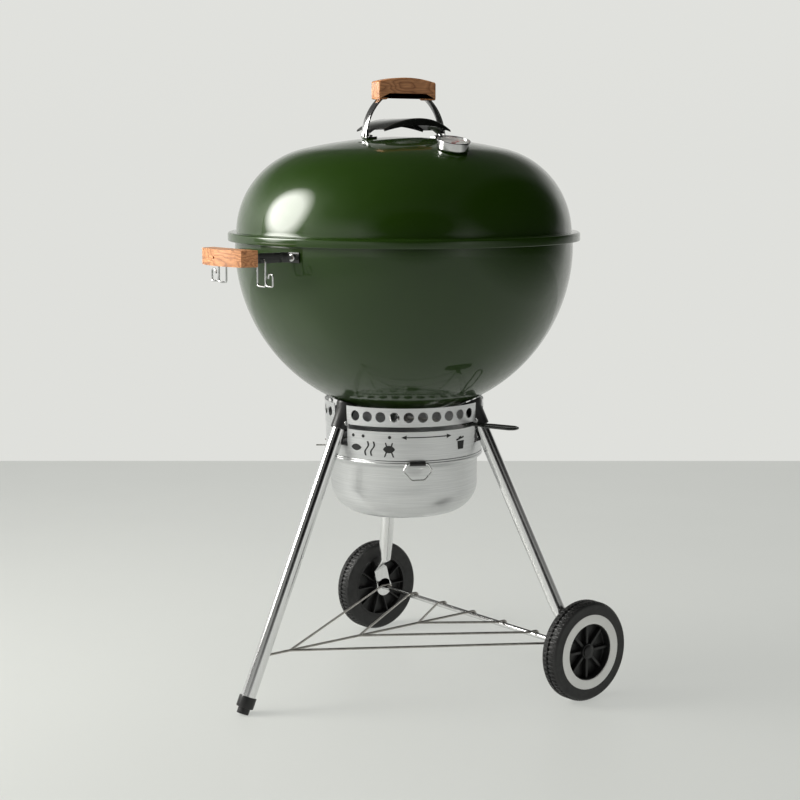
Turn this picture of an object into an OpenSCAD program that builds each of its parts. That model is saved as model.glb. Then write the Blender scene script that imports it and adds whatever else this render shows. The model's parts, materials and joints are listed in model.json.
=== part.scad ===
// Kettle charcoal grill on three legs, two of them with wheels.
// Millimetres, +Z up. The origin is on the floor, under the centre of the kettle.
// The plain leg stands towards -X, the axle runs parallel to Y.

/* [Kettle] */
// Outer radius of the lid's turned-down lip
lip_r = 295; // [285:1:310]
// Height of the lip's lower edge above the floor
lip_z = 760; // [740:1:800]
// Outer radius of the bowl
bowl_r = 283.4; // [276:0.2:286]
// Thickness of the enamelled steel
steel = 1.5; // [1:0.1:2]
// Outer radius of the lid's upright wall
lid_wall_r = 281; // [276:0.5:286]
// Height of the lid from the lip's lower edge to its top
lid_h = 170.6; // [150:0.2:190]
// Radius of the lid's flat dome
dome_r = 740; // [600:5:900]
// Radius of the lid's rounded shoulder
shoulder_r = 145; // [120:1:160]

/* [Legs and wheels] */
// Distance of a leg's axis from the centre, where it meets the bowl
leg_top_r = 119; // [110:1:125]
// Height at which a leg's axis meets the bowl
leg_top_z = 493; // [480:1:500]
// Outer diameter of a leg's tube
leg_d = 24.5; // [22:0.5:26]
// Lean of the plain leg from upright, in degrees
plain_lean = 23.74; // [22:0.02:25]
// Angle of the wheel legs from +X, in degrees
wheel_leg_angle = 59; // [56:0.5:61]
// Distance of the axle from the centre
axle_x = 157.5; // [150:0.5:165]
// Diameter of the axle
axle_d = 9.5; // [8:0.5:11]
// Outer radius of a tyre
tyre_r = 84; // [78:1:86]
// Distance of a wheel's inner face from the middle
wheel_in_y = 268; // [267:1:276]
// Width of a tyre
tyre_w = 32; // [26:1:40]

/* [Ash catcher] */
// Radius of the ash ring at its upper edge
ring_top_r = 135.2; // [134:0.2:136]
// Radius of the ash ring at its lower edge
ring_low_r = 132.3; // [132:0.1:133]
// Height of the ash ring's upper edge above the floor
ring_top_z = 492; // [486:1:493]
// Height of the ash ring's lower edge above the floor
ring_low_z = 405.2; // [404:0.2:408]
// Number of air holes in each third of the ring
air_holes = 10; // [6:1:10]
// Diameter of an air hole
air_hole_d = 17; // [13:1:18]
// Radius of the bucket's wall
bucket_r = 125; // [118:0.5:127]
// Height of the bucket's floor above the ground
bucket_low_z = 299; // [280:1:320]
// Angle of the cleaning lever from +X, in degrees
lever_angle = 288.6; // [287:0.2:289]

/* [Handles] */
// Radius of the arched strap over the lid
arch_r = 83; // [80:0.5:86]
// Length of a wooden grip
grip_len = 120; // [110:1:126]
// Distance of the side grips' outer faces from the centre
side_reach = 372; // [368:1:380]
// Height of the side grips' middle above the floor
side_z = 743.5; // [735:0.5:745]
// Angle of the handle without hooks from +X, in degrees
plain_side_angle = 6; // [-10:1:10]

/* [Grates] */
// Radius of the cooking grate
grate_r = 264; // [256:1:266]
// Height of the cooking grate above the floor
grate_z = 735; // [725:1:740]
// Radius of the charcoal grate
coal_r = 212; // [200:1:214]
// Height of the charcoal grate above the floor
coal_z = 582; // [580:1:600]

/* [Hidden] */
$fn = 96;

// Running clearance on the radius, and the gap kept between curved faces
run = 0.05;
gap = 0.4;
// Larger than any part, for cutting tools
far = 1200;

enamel = "darkolivegreen";
polished = "gainsboro";
brushed = "silver";
black = "dimgray";
wood = "peru";

bowl_in_r = bowl_r - steel;
bowl_z = lip_z - 10;
bead_r = 3.6;
bead_z = lip_z + 9;
lid_top_z = lip_z + lid_h;
lid_floor_z = bead_z + bead_r + 0.3;
dome_z = lid_top_z - dome_r;
shoulder_x = lid_wall_r - shoulder_r;
shoulder_tilt = asin(shoulder_x / (dome_r - shoulder_r));
shoulder_z = dome_z + (dome_r - shoulder_r) * cos(shoulder_tilt);
grip_half = grip_len / 2;
side_strap_y = grip_half - 3.5;
side_strap_h = 16;
// Angle from a handle's middle to the bolts in its feet
side_foot_turn = asin((side_strap_y + 14) / bowl_r);
wheel_lean = atan((axle_x / cos(wheel_leg_angle) - leg_top_r) / (leg_top_z - tyre_r));
blade_y = axle_x * tan(wheel_leg_angle);
wheel_mid_y = wheel_in_y + tyre_w / 2;
plain_leg_len = 522.6;
// Height of the slot that the lever passes through, and the diameter of the small bolts
slot_z = 457;
bolt_d = 5;
thermo_r = 174;
thermo_angle = 258;
thermo_tilt = asin((thermo_r - shoulder_x) / shoulder_r);
thermo_z = shoulder_z + shoulder_r * cos(thermo_tilt);
damper_r = 108;
damper_angle = 65;
damper_tilt = asin(damper_r / dome_r);
flap_x = 150;
rod_d = 5;
bar_d = 6;

function unit(v) = v / norm(v);
function polar(r, a, z) = [r * cos(a), r * sin(a), z];
function bezier(a, b, c, t) = (1 - t) * (1 - t) * a + 2 * t * (1 - t) * b + t * t * c;
// A path through points, each corner rounded from r before it to r after it
function rounded(points, r, closed = false, steps = 4) =
    let (n = len(points))
    [for (i = [0 : n - 1])
        let (a = points[(i + n - 1) % n], b = points[i], c = points[(i + 1) % n])
        if (!closed && (i == 0 || i == n - 1)) b
        else for (k = [0 : steps]) bezier(b + unit(a - b) * r, b, b + unit(c - b) * r, k / steps)];
function tangent(path, i, closed) =
    let (n = len(path), a = path[(i + n - 1) % n], b = path[i], c = path[(i + 1) % n])
    (!closed && i == 0) ? unit(c - b) : (!closed && i == n - 1) ? unit(b - a) : unit(unit(b - a) + unit(c - b));

// A round wire of diameter d along a path; ref is never parallel to the path
module wire(path, d, ref = [0, 0, 1], closed = false, sides = 10) {
    n = len(path);
    points = [for (i = [0 : n - 1])
        let (t = tangent(path, i, closed), s = unit(cross(t, ref)), u = cross(t, s))
        for (k = [0 : sides - 1]) path[i] + d / 2 * (cos(360 * k / sides) * s + sin(360 * k / sides) * u)];
    skin = [for (i = [0 : n - (closed ? 1 : 2)]) for (k = [0 : sides - 1])
        let (j = (i + 1) % n, m = (k + 1) % sides)
        [i * sides + k, j * sides + k, j * sides + m, i * sides + m]];
    start = [for (k = [0 : sides - 1]) k];
    end = [for (k = [sides - 1 : -1 : 0]) (n - 1) * sides + k];
    polyhedron(points, closed ? skin : concat(skin, [start, end]), convexity = 6);
}

// A rod along X, Y or another direction, from one point to another
module rod(a, b, d) {
    v = b - a;
    translate(a) rotate([0, acos(v[2] / norm(v)), atan2(v[1], v[0])]) cylinder(d = d, h = norm(v));
}

// Children stand with their +Z on the lid's surface normal
module on_lid(r, angle, z, tilt) {
    rotate([0, 0, angle]) translate([r, 0, z]) rotate([0, tilt, 0]) children();
}

// Children lie along a leg, with +Z down the tube from the bowl
module along_leg(angle, lean) {
    rotate([0, 0, angle]) translate([leg_top_r, 0, leg_top_z]) rotate([0, 180 - lean, 0]) children();
}

module ring_2d(outer, inner) {
    difference() {
        circle(r = outer);
        circle(r = inner);
    }
}

// ---- kettle bowl ----

module bowl_profile() {
    intersection() {
        translate([0, bowl_z]) ring_2d(bowl_r, bowl_in_r);
        translate([0, bowl_z - far]) square([far, far]);
    }
    translate([bowl_in_r, bowl_z]) square([steel, bead_z - bowl_z]);
    translate([bowl_r, bead_z]) circle(r = bead_r);
}

module bowl() {
    color(enamel) difference() {
        rotate_extrude() bowl_profile();
        // three ash slots, each wider towards the outside
        for (a = [0, 120, 240]) rotate([0, 0, a]) translate([0, 0, bowl_z - bowl_r - 10]) linear_extrude(60) {
            translate([42, 0]) circle(r = 9);
            translate([88, 0]) circle(r = 16);
            polygon([[40.3, -8.8], [85, -15.7], [85, 15.7], [40.3, 8.8]]);
        }
        translate([0, 0, bowl_z - bowl_r - 10]) cylinder(r = 6 + run, h = 30);
        // bolt holes for the side handles
        for (a = side_bolt_angles()) rotate([0, 0, a]) translate([bowl_in_r - 20, 0, side_z])
            rotate([0, 90, 0]) cylinder(r = 3 + run, h = 40);
    }
}

function side_bolt_angles() = [for (side = [plain_side_angle, 180]) for (s = [-1, 1]) side + s * side_foot_turn];

// Welded tabs inside the bowl: the upper ones carry the cooking grate, the lower ones the charcoal grate
module grate_brackets() {
    color(enamel) for (a = [62, 118, 242, 298]) rotate([0, 0, a])
        for (tab = [[grate_r, grate_z], [coal_r, coal_z]]) {
            tab_z = tab[1] - bar_d / 2 - 3;
            // the tab's outer corners end just inside the bowl's wall
            reach = sqrt(pow(bowl_in_r - 0.05, 2) - pow(bowl_z - tab_z, 2) - 144);
            translate([tab[0] - 10, -12, tab_z]) cube([reach - tab[0] + 10, 24, 2.6]);
        }
}

// ---- legs ----

// A leg meets the bowl almost square on, so its socket starts this far down to clear the bowl's curve
socket_top = 1.3;
socket_len = 46;
socket_r = 14.5;
// Distance from the leg's axis to the seat under a screw's head
screw_seat = 13.4;
screw_head_d = 9;

module leg_socket(angle, lean) {
    bore_r = leg_d / 2 + run;
    color(black) difference() {
        along_leg(angle, lean) rotate_extrude() polygon([[0, socket_top], [18, socket_top], [18, 6], [socket_r, 13],
            [socket_r, socket_len], [bore_r, socket_len], [bore_r, 8], [0, 8]]);
        along_leg(angle, lean) translate([0, 0, 34]) rotate([90, 0, 0]) {
            cylinder(r = bolt_d / 2 + run, h = 60, center = true);
            for (s = [-1, 1]) translate([0, 0, s * (screw_seat + 10)])
                cylinder(r = screw_head_d / 2 + run, h = 20, center = true);
        }
    }
}

module leg_socket_plain() leg_socket(180, plain_lean);
module leg_socket_left() leg_socket(wheel_leg_angle, wheel_lean);
module leg_socket_right() leg_socket(-wheel_leg_angle, wheel_lean);

// One screw through each socket and the tube in it
module socket_screws() {
    color(polished) for (leg = [[180, plain_lean], [wheel_leg_angle, wheel_lean], [-wheel_leg_angle, wheel_lean]])
        along_leg(leg[0], leg[1]) translate([0, 0, 34]) rotate([90, 0, 0]) {
            cylinder(d = bolt_d, h = 2 * screw_seat + 1, center = true);
            for (s = [-1, 1]) translate([0, 0, s * (screw_seat + 1.2)]) cylinder(d = screw_head_d, h = 2.4, center = true);
        }
}

module leg_tube(length) {
    difference() {
        cylinder(d = leg_d, h = length);
        translate([0, 0, -1]) cylinder(d = leg_d - 3, h = length + 2);
    }
}

module leg_plain() {
    color(polished) difference() {
        along_leg(180, plain_lean) translate([0, 0, 8.2]) leg_tube(plain_leg_len - 8.2);
        along_leg(180, plain_lean) translate([0, 0, 34]) rotate([90, 0, 0])
            cylinder(r = bolt_d / 2 + run, h = 60, center = true);
        rod([-300, 0, rack_z], [-270, 0, rack_z], rack_d + 2 * run);
    }
}

// Width and thickness of a wheel leg's flattened end
blade_w = 30;
blade_t = 6;

// A wheel leg: tube, pressed-flat end and the bore for the axle
module wheel_leg(side) {
    angle = side * wheel_leg_angle;
    full = (leg_top_z - tyre_r) / cos(wheel_lean);
    tube = full - 70;
    y0 = side * blade_y;
    sweep = atan((axle_x - leg_top_r * cos(angle)) / (leg_top_z - tyre_r));
    color(polished) difference() {
        union() {
            along_leg(angle, wheel_lean) translate([0, 0, 8.2]) leg_tube(tube - 8.2);
            translate([axle_x, y0, tyre_r]) rotate([90, 0, 0]) cylinder(r = 17, h = blade_t, center = true);
            translate([axle_x, y0, tyre_r]) rotate([0, -sweep, 0]) translate([0, 0, 18])
                cube([blade_w, blade_t, 38], center = true);
            hull() {
                translate([axle_x, y0, tyre_r]) rotate([0, -sweep, 0]) translate([0, 0, 35.5])
                    cube([blade_w - 1, blade_t - 1, 2], center = true);
                along_leg(angle, wheel_lean) translate([0, 0, tube - 3]) cylinder(d = leg_d - 0.8, h = 2, $fn = 32);
            }
        }
        along_leg(angle, wheel_lean) translate([0, 0, 34]) rotate([90, 0, 0])
            cylinder(r = bolt_d / 2 + run, h = 60, center = true);
        translate([axle_x, y0, tyre_r]) rotate([90, 0, 0]) cylinder(r = axle_d / 2 + run, h = 20, center = true);
    }
}

module leg_left() wheel_leg(1);
module leg_right() wheel_leg(-1);

foot_cap_r = 14.5;
foot_cap_len = 19;

module foot_cap() {
    color(black) along_leg(180, plain_lean) difference() {
        translate([0, 0, plain_leg_len + 4 - foot_cap_len]) cylinder(r = foot_cap_r, h = foot_cap_len);
        translate([0, 0, plain_leg_len - foot_cap_len]) cylinder(r = leg_d / 2 + run, h = foot_cap_len);
    }
}

// Small plug under the cap, worn flat where it stands on the floor
module foot_glide() {
    color(black) intersection() {
        along_leg(180, plain_lean) translate([0, 0, plain_leg_len + 4]) cylinder(r = 10, h = 10);
        translate([-far, -far / 2, 0]) cube([far, far, 60]);
    }
}

module axle() {
    color(polished) translate([axle_x, 0, tyre_r]) rotate([90, 0, 0])
        cylinder(d = axle_d, h = 2 * (wheel_in_y + tyre_w - 4), center = true);
}

// ---- wire rack between the legs ----

rack_d = 4;
rack_z = tyre_r + axle_d / 2 + rack_d / 2;
hook_r = axle_d / 2 + rack_d / 2 + run;
// Where each bent wire starts on the spine, and how far out it hooks over the axle
rack_vees = [[-248, 247], [-105, 165], [24, 82.5]];

// The end of a wire, curled over the axle
function axle_hook(y) = [for (a = [90 : -20 : -50]) [axle_x + hook_r * cos(a), y, tyre_r + hook_r * sin(a)]];

module wire_rack() {
    color(brushed) {
        wire(concat([[-290, 0, rack_z]], axle_hook(0)), rack_d, [0, 1, 0]);
        for (v = rack_vees) {
            arm = rounded([[v[0] - 4, 0, rack_z], [v[0] + 8, 0, rack_z], [axle_x - 14, v[1], rack_z],
                [axle_x - 6, v[1], rack_z], [axle_x - 1, v[1], rack_z]], 2.4);
            wire(concat(arm, axle_hook(v[1])), rack_d, [0.3, 1, 0.1]);
            mirror([0, 1, 0]) wire(concat(arm, axle_hook(v[1])), rack_d, [0.3, 1, 0.1]);
        }
    }
}

// ---- ash catcher ----

panel_angles = [0, 120, 240];
notch_half = 7;
slot_half = 51.5;
ring_h = ring_top_z - ring_low_z;

module ring_cone(grow) {
    translate([0, 0, ring_low_z]) cylinder(r1 = ring_low_r + grow, r2 = ring_top_r + grow, h = ring_h);
}

// Children are drawn flat, X to the right and Y up, and cut straight in from outside the ring
module into_ring(angle, z) {
    translate([0, 0, z]) rotate([90, 0, angle + 90]) translate([0, 0, 100]) linear_extrude(60) children();
}

module ash_ring() {
    color(brushed) difference() {
        ring_cone(0);
        translate([0, 0, -1]) ring_cone(-1.2);
        translate([0, 0, 1]) ring_cone(-1.25);
        // gaps for the leg sockets, open at the top
        for (a = [180, wheel_leg_angle, -wheel_leg_angle]) {
            half_w = ring_top_r * sin(notch_half);
            into_ring(a, 0) translate([-half_w, 424]) square([2 * half_w, 100]);
        }
        for (p = panel_angles) for (i = [0 : air_holes - 1])
            into_ring(p + 10 * (i - (air_holes - 1) / 2), 477) circle(d = air_hole_d);
        // curved slot for the lever
        translate([0, 0, slot_z - 4]) rotate_extrude(angle = 2 * slot_half, start = 240 - slot_half)
            translate([ring_low_r - 12, 0]) square([24, 8]);
        for (a = wire_end_angles) into_ring(a, wire_ring_z) circle(d = 3.2);
    }
}

// Spring wire inside the ring, with its two ends poking out at the back
wire_end_angles = [141.6, 118];
wire_ring_z = 409.5;

module ring_spring_wire() {
    spring_r = ring_low_r - 3.6;
    color(brushed) translate([0, 0, wire_ring_z]) {
        torus_part(spring_r, 2.4, wire_end_angles[0], wire_end_angles[1] + 360);
        for (a = wire_end_angles) rod(polar(spring_r, a, 0), polar(150, a, 0), 2.3);
    }
}

module arrow_head(x, dir) {
    polygon([[x, 0], [x - dir * 9, 3.6], [x - dir * 9, -3.6]]);
}

// Plain signs for the lever's places: smoke, open and sweep
module pictogram_shapes() {
    for (a = [193, 201.5, 221.5]) into_ring(a, 444) circle(r = 2.7);
    into_ring(195.5, 424.5) scale([1.7, 1.7, 1]) intersection() {
        translate([0, 4]) circle(r = 7.2);
        translate([0, -4]) circle(r = 7.2);
    }
    for (a = [204.2, 208.8]) into_ring(a, 424) polygon(concat(
        [for (y = [-12 : 2 : 12]) [1.9 * sin(y * 18) + y * 0.25 - 1.4, y]],
        [for (y = [12 : -2 : -12]) [1.9 * sin(y * 18) + y * 0.25 + 1.4, y]]));
    into_ring(221, 424) {
        intersection() {
            translate([0, 5]) circle(r = 11.2);
            translate([0, -5]) circle(r = 11.2);
        }
        for (s = [-1, 1]) {
            polygon([[s * 2.6, -4], [s * 5.4, -4], [s * 8.6, -13], [s * 6.4, -13]]);
            polygon([[s * 2.6, 4], [s * 5, 4], [s * 6.8, 11], [s * 4.8, 11]]);
        }
    }
    // double arrow, in short flat steps round the ring
    for (a = [233 : 2 : 264]) into_ring(a, 444) translate([-2.8, -0.8]) square([5.6, 1.6]);
    into_ring(231, 444) arrow_head(-3, -1);
    into_ring(266, 444) arrow_head(3, 1);
    into_ring(276.5, 430) {
        polygon([[-7.5, 3], [7.5, 3], [6, -11], [-6, -11]]);
        rotate(14) translate([-8.5, 6]) square([17, 2.6]);
        rotate(14) translate([-2.6, 8.6]) square([5.2, 2]);
    }
}

module ring_pictograms() {
    color("black") difference() {
        intersection() {
            pictogram_shapes();
            ring_cone(0.4);
        }
        ring_cone(0.02);
    }
}

bucket_corner_r = 52;
bucket_rim_r = 132;
bucket_rim_z = 404.6;

// Half section of the bucket: floor, corner arc, wall and the flared, beaded rim
module bucket_half(grow) {
    r = bucket_r - grow;
    corner = bucket_corner_r - grow;
    translate([0, bucket_low_z + grow]) square([bucket_r - bucket_corner_r, far]);
    intersection() {
        translate([bucket_r - bucket_corner_r, bucket_low_z + bucket_corner_r]) circle(r = corner);
        translate([0, bucket_low_z]) square([far, bucket_corner_r]);
    }
    translate([0, bucket_low_z + bucket_corner_r]) square([r, far]);
}

module ash_bucket() {
    color(brushed) rotate_extrude() {
        intersection() {
            difference() {
                bucket_half(0);
                bucket_half(1.2);
            }
            square([far, 392]);
        }
        translate([bucket_r - 1.2, 390.8]) polygon([[0, 0], [1.2, 0], [bucket_rim_r - bucket_r + 1.2, 6],
            [bucket_rim_r - bucket_r + 1.2, bucket_rim_z - 390.8], [bucket_rim_r - bucket_r, bucket_rim_z - 390.8],
            [bucket_rim_r - bucket_r, 6.6], [0, 1.2]]);
        translate([bucket_rim_r, 400]) circle(r = 2);
    }
}

bail_angle = 241;
bail_z = 401;
bail_r = 138.2;
bail_wire_d = 3;

// Folded clip on the bucket's rim, with the bore that the bail turns in
module bail_clip() {
    color(black) rotate([0, 0, bail_angle]) difference() {
        union() {
            translate([bail_r, 0, bail_z]) rotate([90, 0, 0]) cylinder(r = 3.4, h = 26, center = true);
            translate([bucket_rim_r + 1.4, -13, bail_z - 3.4]) cube([bail_r - bucket_rim_r - 1.4, 26, 6.8]);
        }
        translate([bail_r, 0, bail_z]) rotate([90, 0, 0]) cylinder(r = bail_wire_d / 2 + run, h = 40, center = true);
        translate([0, 0, 390]) cylinder(r = bucket_rim_r + 2.02, h = 40);
    }
}

module bucket_bail() {
    loop = rounded([[bail_r, 10, bail_z], [bail_r, 17, bail_z], [bail_r + 1, 24, bail_z - 12],
        [bail_r + 2, 11, bail_z - 27], [bail_r + 2, -11, bail_z - 27], [bail_r + 1, -24, bail_z - 12],
        [bail_r, -17, bail_z], [bail_r, -10, bail_z]], 2.5);
    color(polished) rotate([0, 0, bail_angle]) {
        wire(loop, bail_wire_d, [1, 0, 0]);
        translate([bail_r, 0, bail_z]) rotate([90, 0, 0]) cylinder(d = bail_wire_d, h = 32, center = true);
    }
}

// ---- cleaning system ----

shaft_low_z = slot_z - 6;

module sweep_shaft() {
    color(brushed) {
        translate([0, 0, shaft_low_z]) cylinder(r = 6, h = 32);
        translate([0, 0, bowl_z - bowl_in_r + 2.8]) cylinder(r = 13, h = 5);
        translate([0, 0, shaft_low_z + 2]) cylinder(r = 10, h = 2.4);
    }
}

// Three thin blades that follow the bowl's inside
module sweep_blades() {
    color(brushed) difference() {
        intersection() {
            translate([0, 0, bowl_z]) sphere(r = bowl_in_r - 0.8);
            union() {
                for (a = [60, 180, 300]) rotate([0, 0, a]) translate([0, 0, 440]) linear_extrude(80)
                    polygon([[0, -11], [60, -22], [112, -29], [112, 29], [60, 22], [0, 11]]);
                translate([0, 0, 440]) cylinder(r = 20, h = 80);
            }
        }
        translate([0, 0, bowl_z]) sphere(r = bowl_in_r - 2.4);
        translate([0, 0, 440]) cylinder(r = 6 + run, h = 60);
    }
}

module lever_arm() {
    color(brushed) rotate([0, 0, lever_angle]) difference() {
        union() {
            translate([0, -5, slot_z - 1.5]) cube([118, 10, 3]);
            translate([0, -1.6, slot_z - 1.5]) cube([138, 3.2, 3]);
            translate([0, 0, slot_z - 1.5]) cylinder(r = 11, h = 3);
        }
        translate([0, 0, slot_z - 5]) cylinder(r = 6 + run, h = 10);
    }
}

// Long narrow wire loop that the hand turns
module lever_handle() {
    loop = rounded([[119, 4, slot_z], [150, 4, slot_z], [166, 11, slot_z], [212, 12, slot_z], [220, 6, slot_z],
        [220, -6, slot_z], [212, -12, slot_z], [166, -11, slot_z], [150, -4, slot_z], [119, -4, slot_z]], 3);
    color(black) rotate([0, 0, lever_angle]) wire(loop, 4.6, closed = false);
}

// Split pin under the lever
module lever_pin() {
    color(polished) translate([0, 0, shaft_low_z - 2.1]) cylinder(r = 8, h = 2);
}

// ---- side handles ----

strap_t = 3;
side_cross_x = side_reach - 35;

// Flat strap in plan: two arms, the bar behind the grip, and the feet on the bowl
module side_strap(hook_holes) {
    color(black) difference() {
        translate([0, 0, side_z - side_strap_h / 2]) linear_extrude(side_strap_h) {
            translate([side_cross_x - strap_t, -side_strap_y - strap_t / 2]) square([strap_t, 2 * side_strap_y + strap_t]);
            for (s = [-1, 1]) {
                translate([bowl_r - 3, s * side_strap_y - strap_t / 2]) square([side_cross_x - bowl_r + 3, strap_t]);
                rotate(s * side_foot_turn) translate([bowl_r + 0.1, -14]) square([strap_t, 28]);
            }
        }
        translate([0, 0, bowl_z]) sphere(r = bowl_r + 0.03);
        for (s = [-1, 1]) rotate([0, 0, s * side_foot_turn]) translate([bowl_r - 5, 0, side_z])
            rotate([0, 90, 0]) cylinder(r = 3 + run, h = 20);
        for (s = [-1, 1]) translate([side_cross_x - 10, s * 34, side_z]) rotate([0, 90, 0]) cylinder(r = 2.5 + run, h = 20);
        if (hook_holes) translate([hook_x, 0, hook_top_z]) rotate([90, 0, 0])
            cylinder(r = hook_wire_d / 2 + run, h = 160, center = true);
    }
}

hook_x = side_reach - 47;
hook_top_z = side_z - 1.5;
hook_wire_d = 3.2;

module side_strap_plain() rotate([0, 0, plain_side_angle]) side_strap(false);
module side_strap_hooks() mirror([1, 0, 0]) side_strap(true);

// Wooden grip, bowed on the outside, with one blind screw recess
module side_grip() {
    bow = 10;
    bow_half = grip_half - 3;
    bow_r = (bow_half * bow_half + bow * bow) / (2 * bow);
    inner_x = side_cross_x + 0.05;
    color(wood) difference() {
        translate([0, 0, side_z - 13]) linear_extrude(26) intersection() {
            translate([side_reach - bow_r, 0]) circle(r = bow_r);
            polygon([[inner_x, -grip_half - 4], [side_reach - 12, -bow_half], [side_reach, -bow_half],
                [side_reach, bow_half], [side_reach - 12, bow_half], [inner_x, grip_half + 4]]);
        }
        for (s = [-1, 1]) translate([inner_x - 1, s * 34, side_z]) rotate([0, 90, 0]) cylinder(r = 2.5 + run, h = 19);
        translate([side_reach - 6, 8, side_z]) rotate([0, 90, 0]) cylinder(r = 2.2, h = 10);
    }
}

module side_grip_plain() rotate([0, 0, plain_side_angle]) side_grip();
module side_grip_hooks() mirror([1, 0, 0]) side_grip();

// Bolts through the strap's feet into the bowl, and screws from the bar into the grip
module side_bolts() {
    color(polished) for (turn = [plain_side_angle, 180]) rotate([0, 0, turn]) for (s = [-1, 1]) {
        rotate([0, 0, s * side_foot_turn]) translate([bowl_r, 0, side_z]) rotate([0, 90, 0]) {
            translate([0, 0, -6]) cylinder(r = 3, h = 12);
            translate([0, 0, strap_t + 0.2]) cylinder(r = 6, h = 3.4);
            translate([0, 0, -6.5]) cylinder(r = 5.5, h = 4);
        }
        translate([side_cross_x - strap_t - 2.4, s * 34, side_z]) rotate([0, 90, 0]) {
            cylinder(r = 2.5, h = 22);
            cylinder(r = 4.5, h = 2.3);
        }
    }
}

// Bent wire hooks: a long loop through a hole in each arm of the strap, and a short loop beside it
module tool_hooks() {
    color(polished) mirror([1, 0, 0]) for (s = [-1, 1]) {
        wire(rounded([[hook_x, s * 45, hook_top_z], [hook_x, s * 45, 700], [hook_x, s * 67, 700],
            [hook_x, s * 67, hook_top_z]], 5), hook_wire_d, [1, 0, 0], closed = true);
        wire(rounded([[hook_x, s * 66, 714], [hook_x, s * 69.5, 701], [hook_x, s * 87, 701],
            [hook_x, s * 87, 720], [hook_x, s * 76, 720], [hook_x, s * 75, 713]], 4), hook_wire_d, [1, 0, 0]);
    }
}

// ---- grates ----

function half_chord(r, y) = sqrt(r * r - y * y);
rod_step = 20;
flap_bar_x = flap_x + 7;

module torus_part(r, d, from, to) {
    rotate_extrude(angle = to - from, start = from) translate([r, 0]) circle(d = d);
}

module cooking_grate() {
    end_angle = acos((flap_x - 2) / grate_r);
    color(brushed) translate([0, 0, grate_z]) {
        for (side = [0, 180]) rotate([0, 0, side]) torus_part(grate_r, bar_d, end_angle, 180 - end_angle);
        for (x = [-flap_x, -50, 50, flap_x])
            rod([x, -half_chord(grate_r, x), 0], [x, half_chord(grate_r, x), 0], bar_d);
        for (y = [-240 : rod_step : 240]) {
            half = min(flap_x, half_chord(grate_r, y));
            rod([-half, y, 0.6], [half, y, 0.6], rod_d);
        }
    }
}

// A hinged end of the grate: two wire eyes turn on the main grate's end bar
module grate_flap() {
    end_angle = acos(flap_bar_x / grate_r);
    eye_r = bar_d / 2 + gap + 1.5;
    color(brushed) translate([0, 0, grate_z]) {
        torus_part(grate_r, bar_d, -end_angle, end_angle);
        rod([flap_bar_x, -half_chord(grate_r, flap_bar_x), 0], [flap_bar_x, half_chord(grate_r, flap_bar_x), 0], bar_d);
        for (y = [-200 : rod_step : 200]) rod([flap_bar_x, y, 0.6], [half_chord(grate_r, y), y, 0.6], rod_d);
        for (y = [-50, 50]) translate([flap_x, y, 0]) rotate([90, 0, 0])
            rotate_extrude() translate([eye_r, 0]) circle(d = 3);
    }
}

module grate_flap_front() grate_flap();
module grate_flap_back() mirror([1, 0, 0]) grate_flap();

module charcoal_grate() {
    color(black) translate([0, 0, coal_z]) {
        torus_part(coal_r, bar_d, 0, 360);
        for (x = [-90, 90]) rod([x, -half_chord(coal_r, x), 0], [x, half_chord(coal_r, x), 0], bar_d);
        for (y = [-192 : 24 : 192]) rod([-half_chord(coal_r, y), y, 0.6], [half_chord(coal_r, y), y, 0.6], rod_d);
    }
}

// ---- lid ----

module lid_profile() {
    dome_edge = [far * sin(shoulder_tilt), dome_z + far * cos(shoulder_tilt)];
    wall_edge = [shoulder_x + (lid_floor_z - shoulder_z) * tan(shoulder_tilt), lid_floor_z];
    intersection() {
        translate([0, dome_z]) ring_2d(dome_r, dome_r - steel);
        polygon([[0, dome_z], dome_edge, [0, dome_z + far]]);
    }
    intersection() {
        translate([shoulder_x, shoulder_z]) ring_2d(shoulder_r, shoulder_r - steel);
        polygon([wall_edge, [shoulder_x + far * sin(shoulder_tilt), shoulder_z + far * cos(shoulder_tilt)],
            [far, far], [far, lid_floor_z]]);
    }
    // flange over the bowl's bead, the turned-down lip and its rolled edge
    translate([lid_wall_r - steel, lid_floor_z]) square([lip_r - lid_wall_r, steel]);
    intersection() {
        translate([lip_r - 4, lid_floor_z + steel - 4]) ring_2d(4, 4 - steel);
        translate([lip_r - 4, lid_floor_z + steel - 4]) square(10);
    }
    translate([lip_r - steel, lip_z + 1.3]) square([steel, lid_floor_z + steel - 4 - lip_z - 1.3]);
    translate([lip_r - 1.3, lip_z + 1.3]) circle(r = 1.3);
}

module lid() {
    color(enamel) difference() {
        rotate_extrude() lid_profile();
        for (x = [-foot_bolt_x, foot_bolt_x]) translate([x, 0, 880]) cylinder(r = bolt_d / 2 + run, h = 80);
        // six-sided hole, whose flats clear the thermometer's round stem
        on_lid(thermo_r, thermo_angle, thermo_z, thermo_tilt)
            cylinder(r = (6 + run) / cos(30), h = 30, center = true, $fn = 6);
        on_lid(damper_r, damper_angle, dome_z + dome_r * cos(damper_tilt), damper_tilt) {
            cylinder(r = 3 + run, h = 30, center = true);
            for (a = vent_angles) rotate([0, 0, a]) translate([vent_r, 0, 0]) cylinder(r = 11, h = 30, center = true);
        }
    }
}

vent_angles = [0, 90, 180, 270];
vent_r = 40;

// Hanger strip inside the lid, bent to hook over the bowl's edge
module lid_hook() {
    hook_z = shoulder_z + 66;
    color(brushed) rotate([0, 0, 90]) rotate([90, 0, 0]) linear_extrude(24, center = true)
        polygon([[256.5, hook_z - 50], [258.5, hook_z - 50], [258.5, hook_z], [262.4, hook_z], [261, hook_z + 2.6],
            [250, hook_z + 2.6], [250, hook_z + 0.6], [256.5, hook_z]]);
}

foot_bolt_x = 71;
arch_w = 14;
arch_t = 3;

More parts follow.
